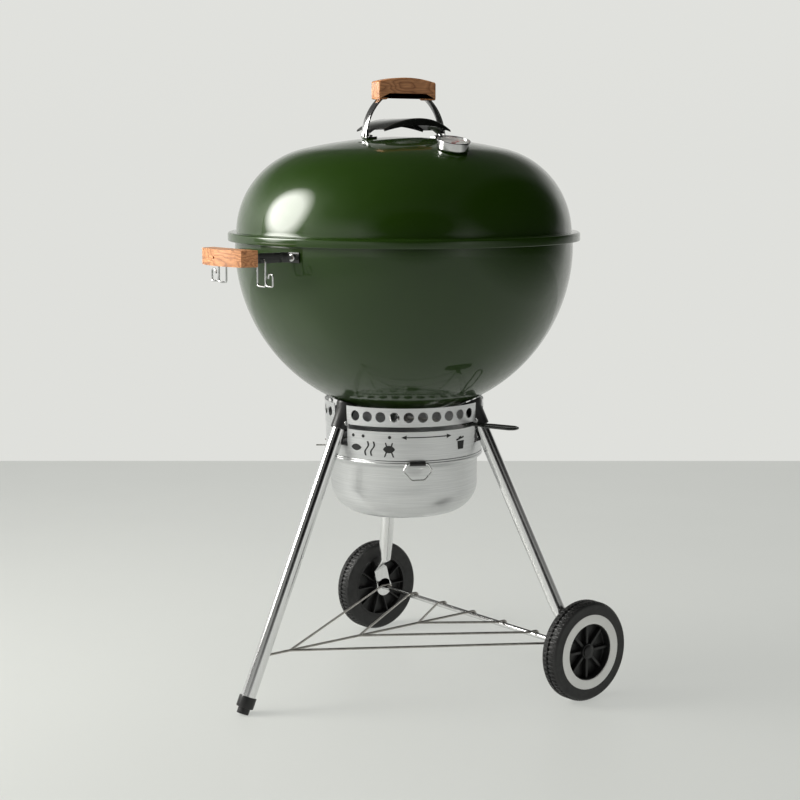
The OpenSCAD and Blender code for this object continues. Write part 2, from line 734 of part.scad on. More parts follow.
// Arched strap: a circular arch about the dome's top, with feet that lie on the dome
module lid_strap() {
    color(polished) rotate([90, 0, 0]) difference() {
        translate([0, 0, -arch_w / 2]) linear_extrude(arch_w) {
            intersection() {
                translate([0, lid_top_z - 4.6]) ring_2d(arch_r + arch_t / 2, arch_r - arch_t / 2);
                translate([-arch_r - 10, lid_top_z - 4.2]) square([2 * arch_r + 20, 69.5]);
            }
            for (s = [-1, 1]) intersection() {
                translate([0, dome_z]) ring_2d(dome_r + 2.8, dome_r + 0.03);
                translate([s * 73 - 11.5, lid_top_z - 10]) square([23, 20]);
            }
        }
        for (x = [-foot_bolt_x, foot_bolt_x]) translate([x, lid_top_z, 0]) rotate([90, 0, 0])
            cylinder(r = bolt_d / 2 + run, h = 30, center = true);
        for (s = [-1, 1]) translate([s * arch_r, ear_z, 0]) rotate([0, 90, 0])
            cylinder(r = bolt_d / 2 + run, h = 20, center = true);
    }
}

ear_z = lid_top_z + 2.4;

// Wooden grip of the lid: arched top, two end blocks, hollowed between them
module lid_grip() {
    top = lid_top_z + 97;
    low = lid_top_z + 60.5;
    rise = 7.5;
    top_r = (grip_half * grip_half + rise * rise) / (2 * rise);
    color(wood) rotate([90, 0, 0]) difference() {
        translate([0, 0, -11.5]) linear_extrude(23) difference() {
            intersection() {
                translate([0, top - top_r]) circle(r = top_r);
                translate([-grip_half, low]) square([2 * grip_half, 60]);
            }
            polygon([[-43, low - 1], [-37, low + 8.5], [-18, low + 6.4], [0, low + 5.6], [18, low + 6.4],
                [37, low + 8.5], [43, low - 1]]);
        }
        // the strap's ends sit in these slots
        translate([0, 0, -arch_w / 2 - run]) linear_extrude(arch_w + 2 * run) intersection() {
            translate([0, lid_top_z - 4.6]) ring_2d(arch_r + arch_t / 2 + run, arch_r - arch_t / 2 - run);
            translate([-arch_r - 10, low - 10]) square([2 * arch_r + 20, 14.9]);
        }
    }
}

shield_top_z = lid_top_z + 30.4;
shield_half = 70;
shield_drop = 18;
shield_arch_r = (shield_half * shield_half + shield_drop * shield_drop) / (2 * shield_drop);

module shield_plan(inset) {
    edge_r = 333.8;
    intersection() {
        translate([0, 45 - edge_r]) circle(r = edge_r - inset);
        translate([0, edge_r - 45]) circle(r = edge_r - inset);
        translate([-shield_half + inset, -60]) square([2 * (shield_half - inset), 120]);
    }
}

// A cylinder across the grill that arches over the lid, for cutting the shield's curves
module across(r, top_z) {
    translate([0, 0, top_z - r]) rotate([90, 0, 0]) cylinder(r = r, h = 200, center = true);
}

module heat_shield() {
    sheet = 1.4;
    ear_x = arch_r - 2.7;
    color(black) difference() {
        union() {
            // arched top, with a narrow tongue at each end
            intersection() {
                difference() {
                    across(shield_arch_r, shield_top_z);
                    across(shield_arch_r - sheet, shield_top_z - sheet);
                }
                translate([0, 0, lid_top_z]) linear_extrude(60) {
                    shield_plan(0);
                    square([2 * ear_x, 22], center = true);
                }
            }
            // turned-down front and back edges, deepest in the middle
            intersection() {
                translate([0, 0, lid_top_z]) linear_extrude(60) difference() {
                    shield_plan(0);
                    shield_plan(sheet);
                    for (s = [-1, 1]) translate([s * shield_half, 0]) square([2 * sheet + 0.01, 66], center = true);
                }
                across(shield_arch_r - 0.2, shield_top_z - 0.2);
                difference() {
                    translate([-100, -60, lid_top_z]) cube([200, 120, 60]);
                    across(250, lid_top_z + 18.4);
                }
            }
            for (s = [-1, 1]) translate([s * (ear_x - sheet / 2), 0, lid_top_z + 4]) cube([sheet, 22, 9.6], center = true);
        }
        for (s = [-1, 1]) translate([s * arch_r, 0, ear_z]) rotate([0, 90, 0])
            cylinder(r = bolt_d / 2 + run, h = 20, center = true);
    }
}

// Foot bolts with nuts inside the lid, and the screws that hold the shield to the strap
module lid_bolts() {
    foot_z = dome_z + half_chord(dome_r, foot_bolt_x);
    color(polished) for (s = [-1, 1]) {
        translate([s * foot_bolt_x, 0, foot_z - 12]) cylinder(d = bolt_d, h = 18);
        translate([s * foot_bolt_x, 0, foot_z + 3.4]) cylinder(r = 4.4, h = 3);
        translate([s * foot_bolt_x, 0, foot_z - 6.6]) cylinder(r = 5, h = 4, $fn = 6);
        translate([s * (arch_r - 0.5), 0, ear_z]) rotate([0, 90, 0]) {
            cylinder(d = bolt_d, h = 11, center = true);
            translate([0, 0, s * (arch_t / 2 + 2.05)]) cylinder(r = 4.6, h = 2.2, center = true);
            translate([0, 0, -s * (arch_t / 2 + 4)]) cylinder(r = 3, h = 3, center = true);
        }
    }
}

// ---- thermometer ----

module on_thermometer() {
    on_lid(thermo_r, thermo_angle, thermo_z, thermo_tilt) children();
}

case_r = 27;
case_h = 16;

module thermometer_case() {
    color(polished) on_thermometer() difference() {
        union() {
            translate([0, 0, 0.3]) cylinder(r = case_r, h = case_h - 0.3);
            translate([0, 0, -6]) cylinder(r = 6, h = 8);
        }
        translate([0, 0, 7.9]) cylinder(r = case_r - 2.4, h = case_h);
        translate([0, 0, -10]) cylinder(r = 2 + run, h = 20);
    }
}

module thermometer_dial() {
    color("white") on_thermometer() difference() {
        translate([0, 0, 8]) cylinder(r = case_r - 2.5, h = 1);
        translate([0, 0, 7]) cylinder(r = 2.2, h = 4);
    }
}

module thermometer_pointer() {
    color("red") on_thermometer() translate([0, 0, 10.2]) {
        difference() {
            cylinder(r = 3.4, h = 1.4);
            translate([0, 0, -1]) cylinder(r = 2 + run, h = 4);
        }
        rotate([0, 0, 128]) translate([3, -0.6, 0]) cube([17, 1.2, 0.8]);
    }
}

module thermometer_glass() {
    color("lightblue", 0.4) on_thermometer() translate([0, 0, 13.4]) cylinder(r = case_r - 2.45, h = 1.6);
}

module thermometer_probe() {
    color(brushed) on_thermometer() translate([0, 0, -58]) cylinder(r = 2, h = 70.4);
}

module thermometer_nut() {
    color(polished) on_thermometer() difference() {
        translate([0, 0, -6]) cylinder(r = 10, h = 3.6, $fn = 6);
        translate([0, 0, -7]) cylinder(r = 6 + run, h = 8);
    }
}

// ---- lid damper ----

module on_damper() {
    on_lid(damper_r, damper_angle, dome_z + dome_r * cos(damper_tilt), damper_tilt) children();
}

// Thin dished disc on the dome, with four holes over the lid's and a turned-up tab
module lid_damper() {
    color(brushed) on_damper() {
        difference() {
            intersection() {
                translate([0, 0, -dome_r]) difference() {
                    sphere(r = dome_r + gap + 1.2);
                    sphere(r = dome_r + gap);
                }
                translate([0, 0, -20]) cylinder(r = 65, h = 40);
            }
            cylinder(r = 3 + run, h = 20, center = true);
            for (a = vent_angles) rotate([0, 0, a]) translate([vent_r, 0, 0])
                cylinder(r = 11, h = 30, center = true);
        }
        difference() {
            translate([54, -7, -1.4]) cube([1.5, 14, 14]);
            translate([50, 0, 9]) rotate([0, 90, 0]) cylinder(r = 2.5, h = 20);
            translate([0, 0, -dome_r]) sphere(r = dome_r + gap + 0.2);
        }
    }
}

module damper_rivet() {
    color(polished) on_damper() {
        translate([0, 0, -4.5]) cylinder(r = 3, h = 8);
        translate([0, 0, 1.9]) cylinder(r = 6.5, h = 2.4);
        translate([0, 0, -4.5]) cylinder(r = 6, h = 2.6);
    }
}

// ---- wheels ----

ring_out_r = 63;
ring_in_r = 47.5;
hub_r = 58;

// Children are drawn for the wheel at +Y, with +Z outwards along the axle
module at_wheel(side) {
    translate([axle_x, side * wheel_in_y, tyre_r]) rotate([side * -90, 0, 0]) children();
}

module tyre(side) {
    color("black") at_wheel(side) rotate_extrude() difference() {
        polygon([[hub_r + run, 1], [tyre_r - 8, 0], [tyre_r - 1.5, 3], [tyre_r, 6.5], [tyre_r, tyre_w - 6.5],
            [tyre_r - 1.5, tyre_w - 3], [tyre_r - 8, tyre_w], [ring_out_r + run, tyre_w],
            [ring_out_r + run, tyre_w - 2], [hub_r + run, tyre_w - 2]]);
        translate([tyre_r - 2.2, tyre_w / 2 - 1.4]) square([4, 2.8]);
    }
}

module wheel_ring(side) {
    color("white") at_wheel(side) translate([0, 0, tyre_w - 1.95]) difference() {
        cylinder(r = ring_out_r, h = 1.95);
        translate([0, 0, -1]) cylinder(r = ring_in_r, h = 4);
    }
}

spokes_out = 8;
ribs_in = 10;

// Hub: rim barrel, web, spokes outside, thin ribs inside and the bore
module wheel_hub(side) {
    web_z = 13;
    color("black") at_wheel(side) difference() {
        union() {
            translate([0, 0, 1]) difference() {
                cylinder(r = hub_r, h = tyre_w - 3.1);
                translate([0, 0, -1]) cylinder(r = hub_r - 4, h = web_z);
                translate([0, 0, web_z + 2]) cylinder(r = 46, h = tyre_w);
            }
            cylinder(r = 13, h = tyre_w - 5);
            for (i = [0 : spokes_out - 1]) rotate([0, 0, i * 360 / spokes_out])
                translate([10, -2.5, web_z]) cube([37.5, 5, 11]);
            for (i = [0 : ribs_in - 1]) rotate([0, 0, i * 360 / ribs_in])
                translate([10, -1.2, 2]) cube([45.5, 2.4, 13]);
        }
        translate([0, 0, -1]) cylinder(r = axle_d / 2 + run, h = 60);
        translate([0, 0, tyre_w - 9]) cylinder(r = 10.5, h = 20);
    }
}

// Domed cap over the axle's end
module wheel_cap(side) {
    color("black") at_wheel(side) difference() {
        intersection() {
            translate([0, 0, tyre_w - 9 + 0.02]) cylinder(r = 10.45, h = 9);
            translate([0, 0, tyre_w - 20.1]) sphere(r = 20);
        }
        translate([0, 0, -1]) cylinder(r = axle_d / 2 + gap, h = tyre_w - 2.2);
    }
}

module tyre_left() tyre(1);
module tyre_right() tyre(-1);
module wheel_ring_left() wheel_ring(1);
module wheel_ring_right() wheel_ring(-1);
module wheel_hub_left() wheel_hub(1);
module wheel_hub_right() wheel_hub(-1);
module wheel_cap_left() wheel_cap(1);
module wheel_cap_right() wheel_cap(-1);

bowl();
grate_brackets();
leg_socket_plain();
leg_socket_left();
leg_socket_right();
socket_screws();
leg_plain();
leg_left();
leg_right();
foot_cap();
foot_glide();
axle();
wire_rack();
ash_ring();
ring_pictograms();
ring_spring_wire();
side_strap_hooks();
side_strap_plain();
side_grip_hooks();
side_grip_plain();
side_bolts();
tool_hooks();
cooking_grate();
grate_flap_front();
grate_flap_back();
charcoal_grate();
sweep_shaft();
sweep_blades();
lever_arm();
lever_handle();
lever_pin();
ash_bucket();
bail_clip();
bucket_bail();
lid();
lid_hook();
lid_strap();
lid_grip();
heat_shield();
lid_bolts();
thermometer_case();
thermometer_dial();
thermometer_pointer();
thermometer_glass();
thermometer_probe();
thermometer_nut();
lid_damper();
damper_rivet();
tyre_left();
wheel_ring_left();
wheel_hub_left();
wheel_cap_left();
tyre_right();
wheel_ring_right();
wheel_hub_right();
wheel_cap_right();
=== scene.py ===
"""Kettle charcoal grill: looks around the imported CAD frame. Lengths are millimetres until a piece is made."""

import json
import math

import bpy
import bmesh
from mathutils import Matrix, Vector

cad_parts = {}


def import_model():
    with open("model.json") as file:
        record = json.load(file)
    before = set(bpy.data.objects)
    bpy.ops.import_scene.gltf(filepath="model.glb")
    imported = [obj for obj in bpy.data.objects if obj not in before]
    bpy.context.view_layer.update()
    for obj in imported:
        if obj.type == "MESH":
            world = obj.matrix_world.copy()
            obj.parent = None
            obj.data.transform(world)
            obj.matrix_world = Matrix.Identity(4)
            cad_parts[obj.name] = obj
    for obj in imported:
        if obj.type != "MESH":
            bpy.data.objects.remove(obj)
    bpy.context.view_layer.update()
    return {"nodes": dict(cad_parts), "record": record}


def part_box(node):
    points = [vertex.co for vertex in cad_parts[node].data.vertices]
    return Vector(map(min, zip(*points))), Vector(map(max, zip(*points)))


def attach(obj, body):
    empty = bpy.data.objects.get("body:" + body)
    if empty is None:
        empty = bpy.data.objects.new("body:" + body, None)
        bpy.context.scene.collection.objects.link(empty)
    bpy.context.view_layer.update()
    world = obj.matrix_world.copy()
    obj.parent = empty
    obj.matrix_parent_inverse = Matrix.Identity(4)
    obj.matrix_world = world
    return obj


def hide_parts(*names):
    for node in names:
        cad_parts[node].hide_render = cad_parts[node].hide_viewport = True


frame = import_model()
MM = 0.001


def node_box(node):
    """A CAD node's lowest and highest corner, in millimetres."""
    low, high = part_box(node)
    return low / MM, high / MM


# ---- sizes, from the frame where it holds them ----

LID_LOW, LID_HIGH = node_box("lid")
LIP_R = LID_HIGH.x
LIP_Z = LID_LOW.z
LID_TOP = LID_HIGH.z
BEAD_R = 3.6
BOWL_R = node_box("bowl")[1].x - BEAD_R
STEEL = 1.5
BOWL_Z = LIP_Z - 10
BEAD_Z = LIP_Z + 9
LID_FLOOR = BEAD_Z + BEAD_R + 0.3
WALL_R = LIP_R - 14
DOME_R = 740
SHOULDER_R = 145
DOME_Z = LID_TOP - DOME_R
SHOULDER_X = WALL_R - SHOULDER_R
SHOULDER_TILT = math.asin(SHOULDER_X / (DOME_R - SHOULDER_R))
SHOULDER_Z = DOME_Z + (DOME_R - SHOULDER_R) * math.cos(SHOULDER_TILT)

AXLE_X = 157.5
TYRE_R = 84
TYRE_W = 32
WHEEL_IN_Y = 268
HUB_R = 58
RING_OUT_R = 63
RING_IN_R = 47.5
AXLE_D = 9.5

LEG_TOP_R = 119
LEG_TOP_Z = 493
LEG_D = 24.5
PLAIN_LEAN = 23.74
PLAIN_LEG = 522.6
WHEEL_LEG_ANGLE = 59
WHEEL_LEAN = math.degrees(
    math.atan((AXLE_X / math.cos(math.radians(WHEEL_LEG_ANGLE)) - LEG_TOP_R) / (LEG_TOP_Z - TYRE_R)))

SIDE_Z = 743.5
SIDE_REACH = 372
SIDE_CROSS = SIDE_REACH - 35
PLAIN_SIDE_ANGLE = 6
GRIP_HALF = 60
STRAP_Y = GRIP_HALF - 3.5
FOOT_TURN = math.degrees(math.asin((STRAP_Y + 14) / BOWL_R))
ARCH_R = 83
ARCH_Z = LID_TOP - 4.6
ARCH_W = 14
ARCH_T = 3
THERMO_R = 174
THERMO_ANGLE = 258
THERMO_TILT = math.degrees(math.asin((THERMO_R - SHOULDER_X) / SHOULDER_R))
THERMO_Z = SHOULDER_Z + SHOULDER_R * math.cos(math.radians(THERMO_TILT))
DAMPER_R = 108
DAMPER_ANGLE = 65
DAMPER_TILT = math.degrees(math.asin(DAMPER_R / DOME_R))
DAMPER_Z = DOME_Z + DOME_R * math.cos(math.radians(DAMPER_TILT))
GRATE_R = 264
GRATE_Z = 735
COAL_R = 212
COAL_Z = 582
SLOT_Z = 457
LEVER_ANGLE = 288.6
BAIL_ANGLE = 241
BAIL_R = 138.2
BAIL_Z = 401


# ---- placing ----

def turn(angle, axis="Z"):
    return Matrix.Rotation(math.radians(angle), 4, axis)


def shift(x, y, z):
    return Matrix.Translation((x, y, z))


def on_lid(r, angle, z, tilt):
    return turn(angle) @ shift(r, 0, z) @ turn(tilt, "Y")


def along_leg(angle, lean):
    return turn(angle) @ shift(LEG_TOP_R, 0, LEG_TOP_Z) @ turn(180 - lean, "Y")


def at_wheel(side):
    return shift(AXLE_X, side * WHEEL_IN_Y, TYRE_R) @ turn(-90 * side, "X")


LEGS = {
    "plain": (180, PLAIN_LEAN),
    "left": (WHEEL_LEG_ANGLE, WHEEL_LEAN),
    "right": (-WHEEL_LEG_ANGLE, WHEEL_LEAN),
}
HOOKS_SIDE = Matrix.Scale(-1, 4, (1, 0, 0))
PLAIN_SIDE = turn(PLAIN_SIDE_ANGLE)
ON_THERMO = on_lid(THERMO_R, THERMO_ANGLE, THERMO_Z, THERMO_TILT)
ON_DAMPER = on_lid(DAMPER_R, DAMPER_ANGLE, DAMPER_Z, DAMPER_TILT)


# ---- shapes ----

def arc(x, z, r, start, end, steps):
    """Points on an arc, in degrees counted from +X towards +Z."""
    angles = [math.radians(start + (end - start) * i / steps) for i in range(steps + 1)]
    return [(x + r * math.cos(a), z + r * math.sin(a)) for a in angles]


def bezier(a, b, c, t):
    return (1 - t) ** 2 * a + 2 * t * (1 - t) * b + t * t * c


def rounded(points, r, closed=False, steps=6):
    """A path with each corner rounded from r before it to r after it."""
    points = [Vector(p) for p in points]
    n = len(points)
    path = []
    for i, b in enumerate(points):
        if not closed and i in (0, n - 1):
            path.append(b)
            continue
        before = (points[i - 1] - b).normalized() * r
        after = (points[(i + 1) % n] - b).normalized() * r
        path += [bezier(b + before, b, b + after, k / steps) for k in range(steps + 1)]
    return path


def skin_rings(bm, rings, loop, cap):
    """Joins rings of vertices with quads; loop joins the last to the first, cap closes both ends."""
    n = len(rings[0])
    for i in range(len(rings) if loop else len(rings) - 1):
        a, b = rings[i], rings[(i + 1) % len(rings)]
        for k in range(n):
            m = (k + 1) % n
            bm.faces.new((a[k], b[k], b[m], a[m]))
    if cap and not loop:
        bm.faces.new(list(reversed(rings[0])))
        bm.faces.new(rings[-1])


def add_lathe(bm, profile, place=Matrix(), steps=96):
    """Turns a closed outline of (radius, height) points round Z."""
    rings = []
    for i in range(steps):
        a = 2 * math.pi * i / steps
        rings.append([bm.verts.new(place @ Vector((r * math.cos(a), r * math.sin(a), z))) for r, z in profile])
    skin_rings(bm, rings, True, False)


def add_wire(bm, path, d, place=Matrix(), closed=False, sides=16):
    """A round wire along a path, its section carried along without twist."""
    path = [Vector(p) for p in path]
    n = len(path)
    tangents = []
    for i in range(n):
        before = path[i] - path[i - 1] if (closed or i > 0) else path[1] - path[0]
        after = path[(i + 1) % n] - path[i] if (closed or i < n - 1) else path[i] - path[i - 1]
        tangents.append((before.normalized() + after.normalized()).normalized())
    side = tangents[0].orthogonal().normalized()
    frames = []
    for t in tangents:
        side = (side - t * side.dot(t)).normalized()
        frames.append((side, t.cross(side)))
    spin = 0
    if closed:
        last = (side - tangents[0] * side.dot(tangents[0])).normalized()
        spin = math.atan2(last.dot(frames[0][1]), last.dot(frames[0][0]))
    rings = []
    for i, (u, v) in enumerate(frames):
        extra = -spin * i / n
        angles = [2 * math.pi * k / sides + extra for k in range(sides)]
        ring = [path[i] + d / 2 * (math.cos(a) * u + math.sin(a) * v) for a in angles]
        rings.append([bm.verts.new(place @ p) for p in ring])
    skin_rings(bm, rings, closed, True)


def add_rod(bm, a, b, d, place=Matrix(), sides=16):
    add_wire(bm, [a, Vector(a).lerp(Vector(b), 0.5), b], d, place, sides=sides)


def add_disc(bm, r, low, high, place=Matrix(), edge=0.4, steps=32):
    """A round slug with both edges rounded."""
    outline = arc(r - edge, high - edge, edge, 0, 90, 4)
    outline = [(0.001, low)] + arc(r - edge, low + edge, edge, -90, 0, 4) + outline + [(0.001, high)]
    add_lathe(bm, outline, place, steps)


def add_prism(bm, outline, low, high, place=Matrix()):
    """A flat outline of (x, y) points, drawn out from low to high along Z."""
    rings = [[bm.verts.new(place @ Vector((x, y, z))) for x, y in outline] for z in (low, high)]
    skin_rings(bm, rings, False, True)


def add_box(bm, low, high, place=Matrix()):
    outline = [(low[0], low[1]), (high[0], low[1]), (high[0], high[1]), (low[0], high[1])]
    add_prism(bm, outline, low[2], high[2], place)


def add_section(bm, path, across, section, place=Matrix()):
    """Draws a flat section of (side, out) points along a path; across is the section's side direction."""
    path = [Vector(p) for p in path]
    across = Vector(across)
    rings = []
    for i, p in enumerate(path):
        t = (path[min(i + 1, len(path) - 1)] - path[max(i - 1, 0)]).normalized()
        out = across.cross(t).normalized()
        rings.append([bm.verts.new(place @ (p + across * s + out * o)) for s, o in section])
    skin_rings(bm, rings, False, True)


def bar_section(w, t, edge):
    """The outline of a flat bar with rounded edges."""
    corners = [(w / 2 - edge, t / 2 - edge, 0), (edge - w / 2, t / 2 - edge, 90),
               (edge - w / 2, edge - t / 2, 180), (w / 2 - edge, edge - t / 2, 270)]
    return [p for x, z, a in corners for p in arc(x, z, edge, a, a + 90, 3)]


def piece(name, bm, slot, body, nodes, sharp=32, bevel=None, look=None):
    """Makes a mesh object of bm in metres, which rides on a body and stands for CAD nodes.

    It has the look of its slot, unless another one is given.
    """
    bm.transform(Matrix.Scale(MM, 4))
    bmesh.ops.remove_doubles(bm, verts=bm.verts, dist=0.004 * MM)
    bmesh.ops.recalc_face_normals(bm, faces=bm.faces)
    mesh = bpy.data.meshes.new(name)
    bm.to_mesh(mesh)
    bm.free()
    obj = bpy.data.objects.new(name, mesh)
    bpy.context.scene.collection.objects.link(obj)
    mesh.materials.append(look or LOOKS[slot])
    mesh.shade_smooth()
    mesh.set_sharp_from_angle(angle=math.radians(sharp))
    if bevel:
        rounder = obj.modifiers.new("edges", "BEVEL")
        rounder.width = bevel * MM
        rounder.segments = 3
        rounder.limit_method = "ANGLE"
        rounder.angle_limit = math.radians(sharp)
        rounder.harden_normals = True
    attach(obj, body)
    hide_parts(*nodes)
    return obj


def cut(obj, cutters):
    """Takes a mesh of cutters away from a piece, for good."""
    bm = cutters
    bm.transform(Matrix.Scale(MM, 4))
    bmesh.ops.recalc_face_normals(bm, faces=bm.faces)
    mesh = bpy.data.meshes.new("cutters")
    bm.to_mesh(mesh)
    bm.free()
    tool = bpy.data.objects.new("cutters", mesh)
    bpy.context.scene.collection.objects.link(tool)
    step = obj.modifiers.new("cut", "BOOLEAN")
    step.operation = "DIFFERENCE"
    step.solver = "EXACT"
    step.object = tool
    shaped = bpy.data.meshes.new_from_object(obj.evaluated_get(bpy.context.evaluated_depsgraph_get()))
    obj.modifiers.clear()
    obj.data = shaped
    bpy.data.objects.remove(tool)
    shaped.shade_smooth()
    shaped.set_sharp_from_angle(angle=math.radians(32))


# ---- materials ----

class Look:
    """One node material. Every method adds a node and gives back its output."""

    def __init__(self, name, **sockets):
        self.material = bpy.data.materials.new(name)
        self.material.use_nodes = True
        self.tree = self.material.node_tree
        self.shader = next(n for n in self.tree.nodes if n.type == "BSDF_PRINCIPLED")
        self.place = self.tree.nodes.new("ShaderNodeTexCoord").outputs["Object"]
        for socket, value in sockets.items():
            self.shader.inputs[socket.replace("_", " ")].default_value = value

    def link(self, source, socket):
        self.tree.links.new(source, socket)

    def stretch(self, x, y, z, turned=(0, 0, 0), source=None):
        node = self.tree.nodes.new("ShaderNodeMapping")
        node.inputs["Scale"].default_value = (x, y, z)
        node.inputs["Rotation"].default_value = [math.radians(a) for a in turned]
        self.link(source or self.place, node.inputs["Vector"])
        return node.outputs[0]

    def noise(self, scale, detail=4, rough=0.55, bend=0, source=None):
        node = self.tree.nodes.new("ShaderNodeTexNoise")
        node.inputs["Scale"].default_value = scale
        node.inputs["Detail"].default_value = detail
        node.inputs["Roughness"].default_value = rough
        node.inputs["Distortion"].default_value = bend
        self.link(source or self.place, node.inputs["Vector"])
        return node.outputs[0]

    def ramp(self, source, *stops):
        node = self.tree.nodes.new("ShaderNodeValToRGB")
        ramp = node.color_ramp
        while len(ramp.elements) < len(stops):
            ramp.elements.new(0.5)
        for element, (at, color) in zip(ramp.elements, stops):
            element.position = at
            element.color = (*color, 1) if isinstance(color, tuple) else (color, color, color, 1)
        self.link(source, node.inputs[0])
        return node.outputs[0]

    def math(self, kind, a, b):
        node = self.tree.nodes.new("ShaderNodeMath")
        node.operation = kind
        for socket, value in zip(node.inputs, (a, b)):
            if isinstance(value, (int, float)):
                socket.default_value = value
            else:
                self.link(value, socket)
        return node.outputs[0]

    def mix(self, kind, amount, a, b):
        node = self.tree.nodes.new("ShaderNodeMix")
        node.data_type = "RGBA"
        node.blend_type = kind
        node.inputs[0].default_value = amount
        self.link(a, node.inputs[6])
        self.link(b, node.inputs[7])
        return node.outputs[2]

    def spread(self, source, low, high):
        node = self.tree.nodes.new("ShaderNodeMapRange")
        node.inputs["From Min"].default_value = 0.3
        node.inputs["From Max"].default_value = 0.7
        node.inputs["To Min"].default_value = low
        node.inputs["To Max"].default_value = high
        self.link(source, node.inputs["Value"])
        return node.outputs[0]

    def set(self, socket, source):
        self.link(source, self.shader.inputs[socket])

    def bump(self, height, strength, depth=0.001):
        node = self.tree.nodes.new("ShaderNodeBump")
        node.inputs["Strength"].default_value = strength
        node.inputs["Distance"].default_value = depth
        self.link(height, node.inputs["Height"])
        self.link(node.outputs[0], self.shader.inputs["Normal"])


def green_enamel():
    """Deep green enamel under a hard clear layer."""
    look = Look("green_enamel", Metallic=0.12, Coat_Weight=0.85, Coat_Roughness=0.035, Coat_IOR=1.5, IOR=1.25)
    drift = look.noise(5, 3)
    look.set("Base Color", look.ramp(drift, (0.3, (0.0098, 0.0285, 0.0009)), (0.7, (0.0125, 0.0345, 0.0013))))
    look.set("Roughness", look.spread(look.noise(38, 3), 0.33, 0.42))
    look.bump(look.noise(260, 2), 0.03, 0.0004)
    return look.material


def gloss_black():
    """Black vitreous enamel."""
    look = Look("black_enamel", Metallic=0.0, Coat_Weight=0.6, Coat_Roughness=0.05, IOR=1.5)
    drift = look.noise(20, 3)
    look.set("Base Color", look.ramp(drift, (0.3, (0.006, 0.007, 0.006)), (0.7, (0.012, 0.013, 0.011))))
    look.set("Roughness", look.spread(look.noise(60, 4), 0.12, 0.24))
    look.bump(look.noise(420, 3), 0.05, 0.0003)
    return look.material


def black_plastic():
    look = Look("black_plastic", IOR=1.46)
    look.set("Base Color", look.ramp(look.noise(30, 4), (0.3, 0.008), (0.7, 0.014)))
    look.set("Roughness", look.spread(look.noise(90, 5), 0.30, 0.46))
    look.bump(look.noise(1500, 3), 0.10, 0.0002)
    return look.material


def white_plastic():
    look = Look("white_plastic", IOR=1.46)
    look.set("Base Color", look.ramp(look.noise(24, 4), (0.3, (0.78, 0.78, 0.76)), (0.7, (0.84, 0.84, 0.82))))
    look.set("Roughness", look.spread(look.noise(80, 5), 0.32, 0.46))
    look.bump(look.noise(900, 3), 0.05, 0.0002)
    return look.material


def tyre_rubber():
    look = Look("tyre_rubber", IOR=1.48)
    look.set("Base Color", look.ramp(look.noise(50, 5), (0.3, 0.010), (0.7, 0.020)))
    look.set("Roughness", look.spread(look.noise(120, 6), 0.42, 0.62))
    look.bump(look.noise(1200, 5), 0.18, 0.0003)
    return look.material


def metal(name, dark, light, rough_low, rough_high, grain=(1, 1, 1), grain_scale=60, depth=0.04, **sockets):
    """A bare metal whose fine streaks are noise stretched along the grain."""
    look = Look(name, Metallic=1.0, **sockets)
    streaks = look.noise(grain_scale, 5, 0.6, source=look.stretch(*grain))
    clouds = look.noise(14, 4)
    look.set("Base Color", look.mix("MULTIPLY", 0.5, look.ramp(streaks, (0.3, dark), (0.7, light)),
                                    look.ramp(clouds, (0.3, 0.86), (0.7, 1.0))))
    look.set("Roughness", look.spread(look.math("ADD", look.math("MULTIPLY", streaks, 0.6),
                                                look.math("MULTIPLY", clouds, 0.4)), rough_low, rough_high))
    look.bump(streaks, depth, 0.0003)
    return look.material


def wood(name, along):
    """Oiled hardwood with its growth rings cut lengthwise.

    along is 0 for grain along X and 90 for grain along Y.
    """
    look = Look(name, IOR=1.5, Coat_Weight=0.15, Coat_Roughness=0.3)
    lie = look.stretch(1, 1, 1, (0, 0, -along))
    slow = look.noise(9, 2, 0.5, source=look.stretch(1.0, 3.2, 3.2, source=lie))
    rings = look.math("FRACT", look.math("MULTIPLY", slow, 13.0), 0)
    band = look.ramp(rings, (0.0, (0.40, 0.160, 0.056)), (0.55, (0.62, 0.290, 0.118)),
                     (0.88, (0.50, 0.215, 0.082)), (1.0, (0.22, 0.080, 0.028)))
    fibre = look.noise(420, 6, 0.7, source=look.stretch(0.05, 1, 1, source=lie))
    pores = look.noise(900, 3, 0.6, source=look.stretch(0.035, 1, 1, source=lie))
    fine = look.ramp(fibre, (0.34, (0.62, 0.55, 0.50)), (0.62, (1.0, 1.0, 1.0)))
    dots = look.ramp(pores, (0.34, (0.28, 0.20, 0.16)), (0.42, (1.0, 1.0, 1.0)))
    look.set("Base Color", look.mix("MULTIPLY", 0.75, look.mix("MULTIPLY", 0.8, band, fine), dots))
    look.set("Roughness", look.spread(fibre, 0.38, 0.55))
    relief = look.math("ADD", look.math("MULTIPLY", pores, 0.7), look.math("MULTIPLY", fibre, 0.5))
    look.bump(relief, 0.25, 0.0004)
    return look.material


def clear_glass():
    look = Look("glass", IOR=1.45, Transmission_Weight=1.0, Alpha=0.25)
    look.set("Base Color", look.ramp(look.noise(20, 2), (0.3, 0.94), (0.7, 1.0)))
    look.set("Roughness", look.spread(look.noise(90, 3), 0.0, 0.04))
    return look.material


def painted(name, dark, light, low, high):
    look = Look(name, IOR=1.48)
    look.set("Base Color", look.ramp(look.noise(40, 4), (0.3, dark), (0.7, light)))
    look.set("Roughness", look.spread(look.noise(70, 4), low, high))
    look.bump(look.noise(700, 3), 0.06, 0.0002)
    return look.material


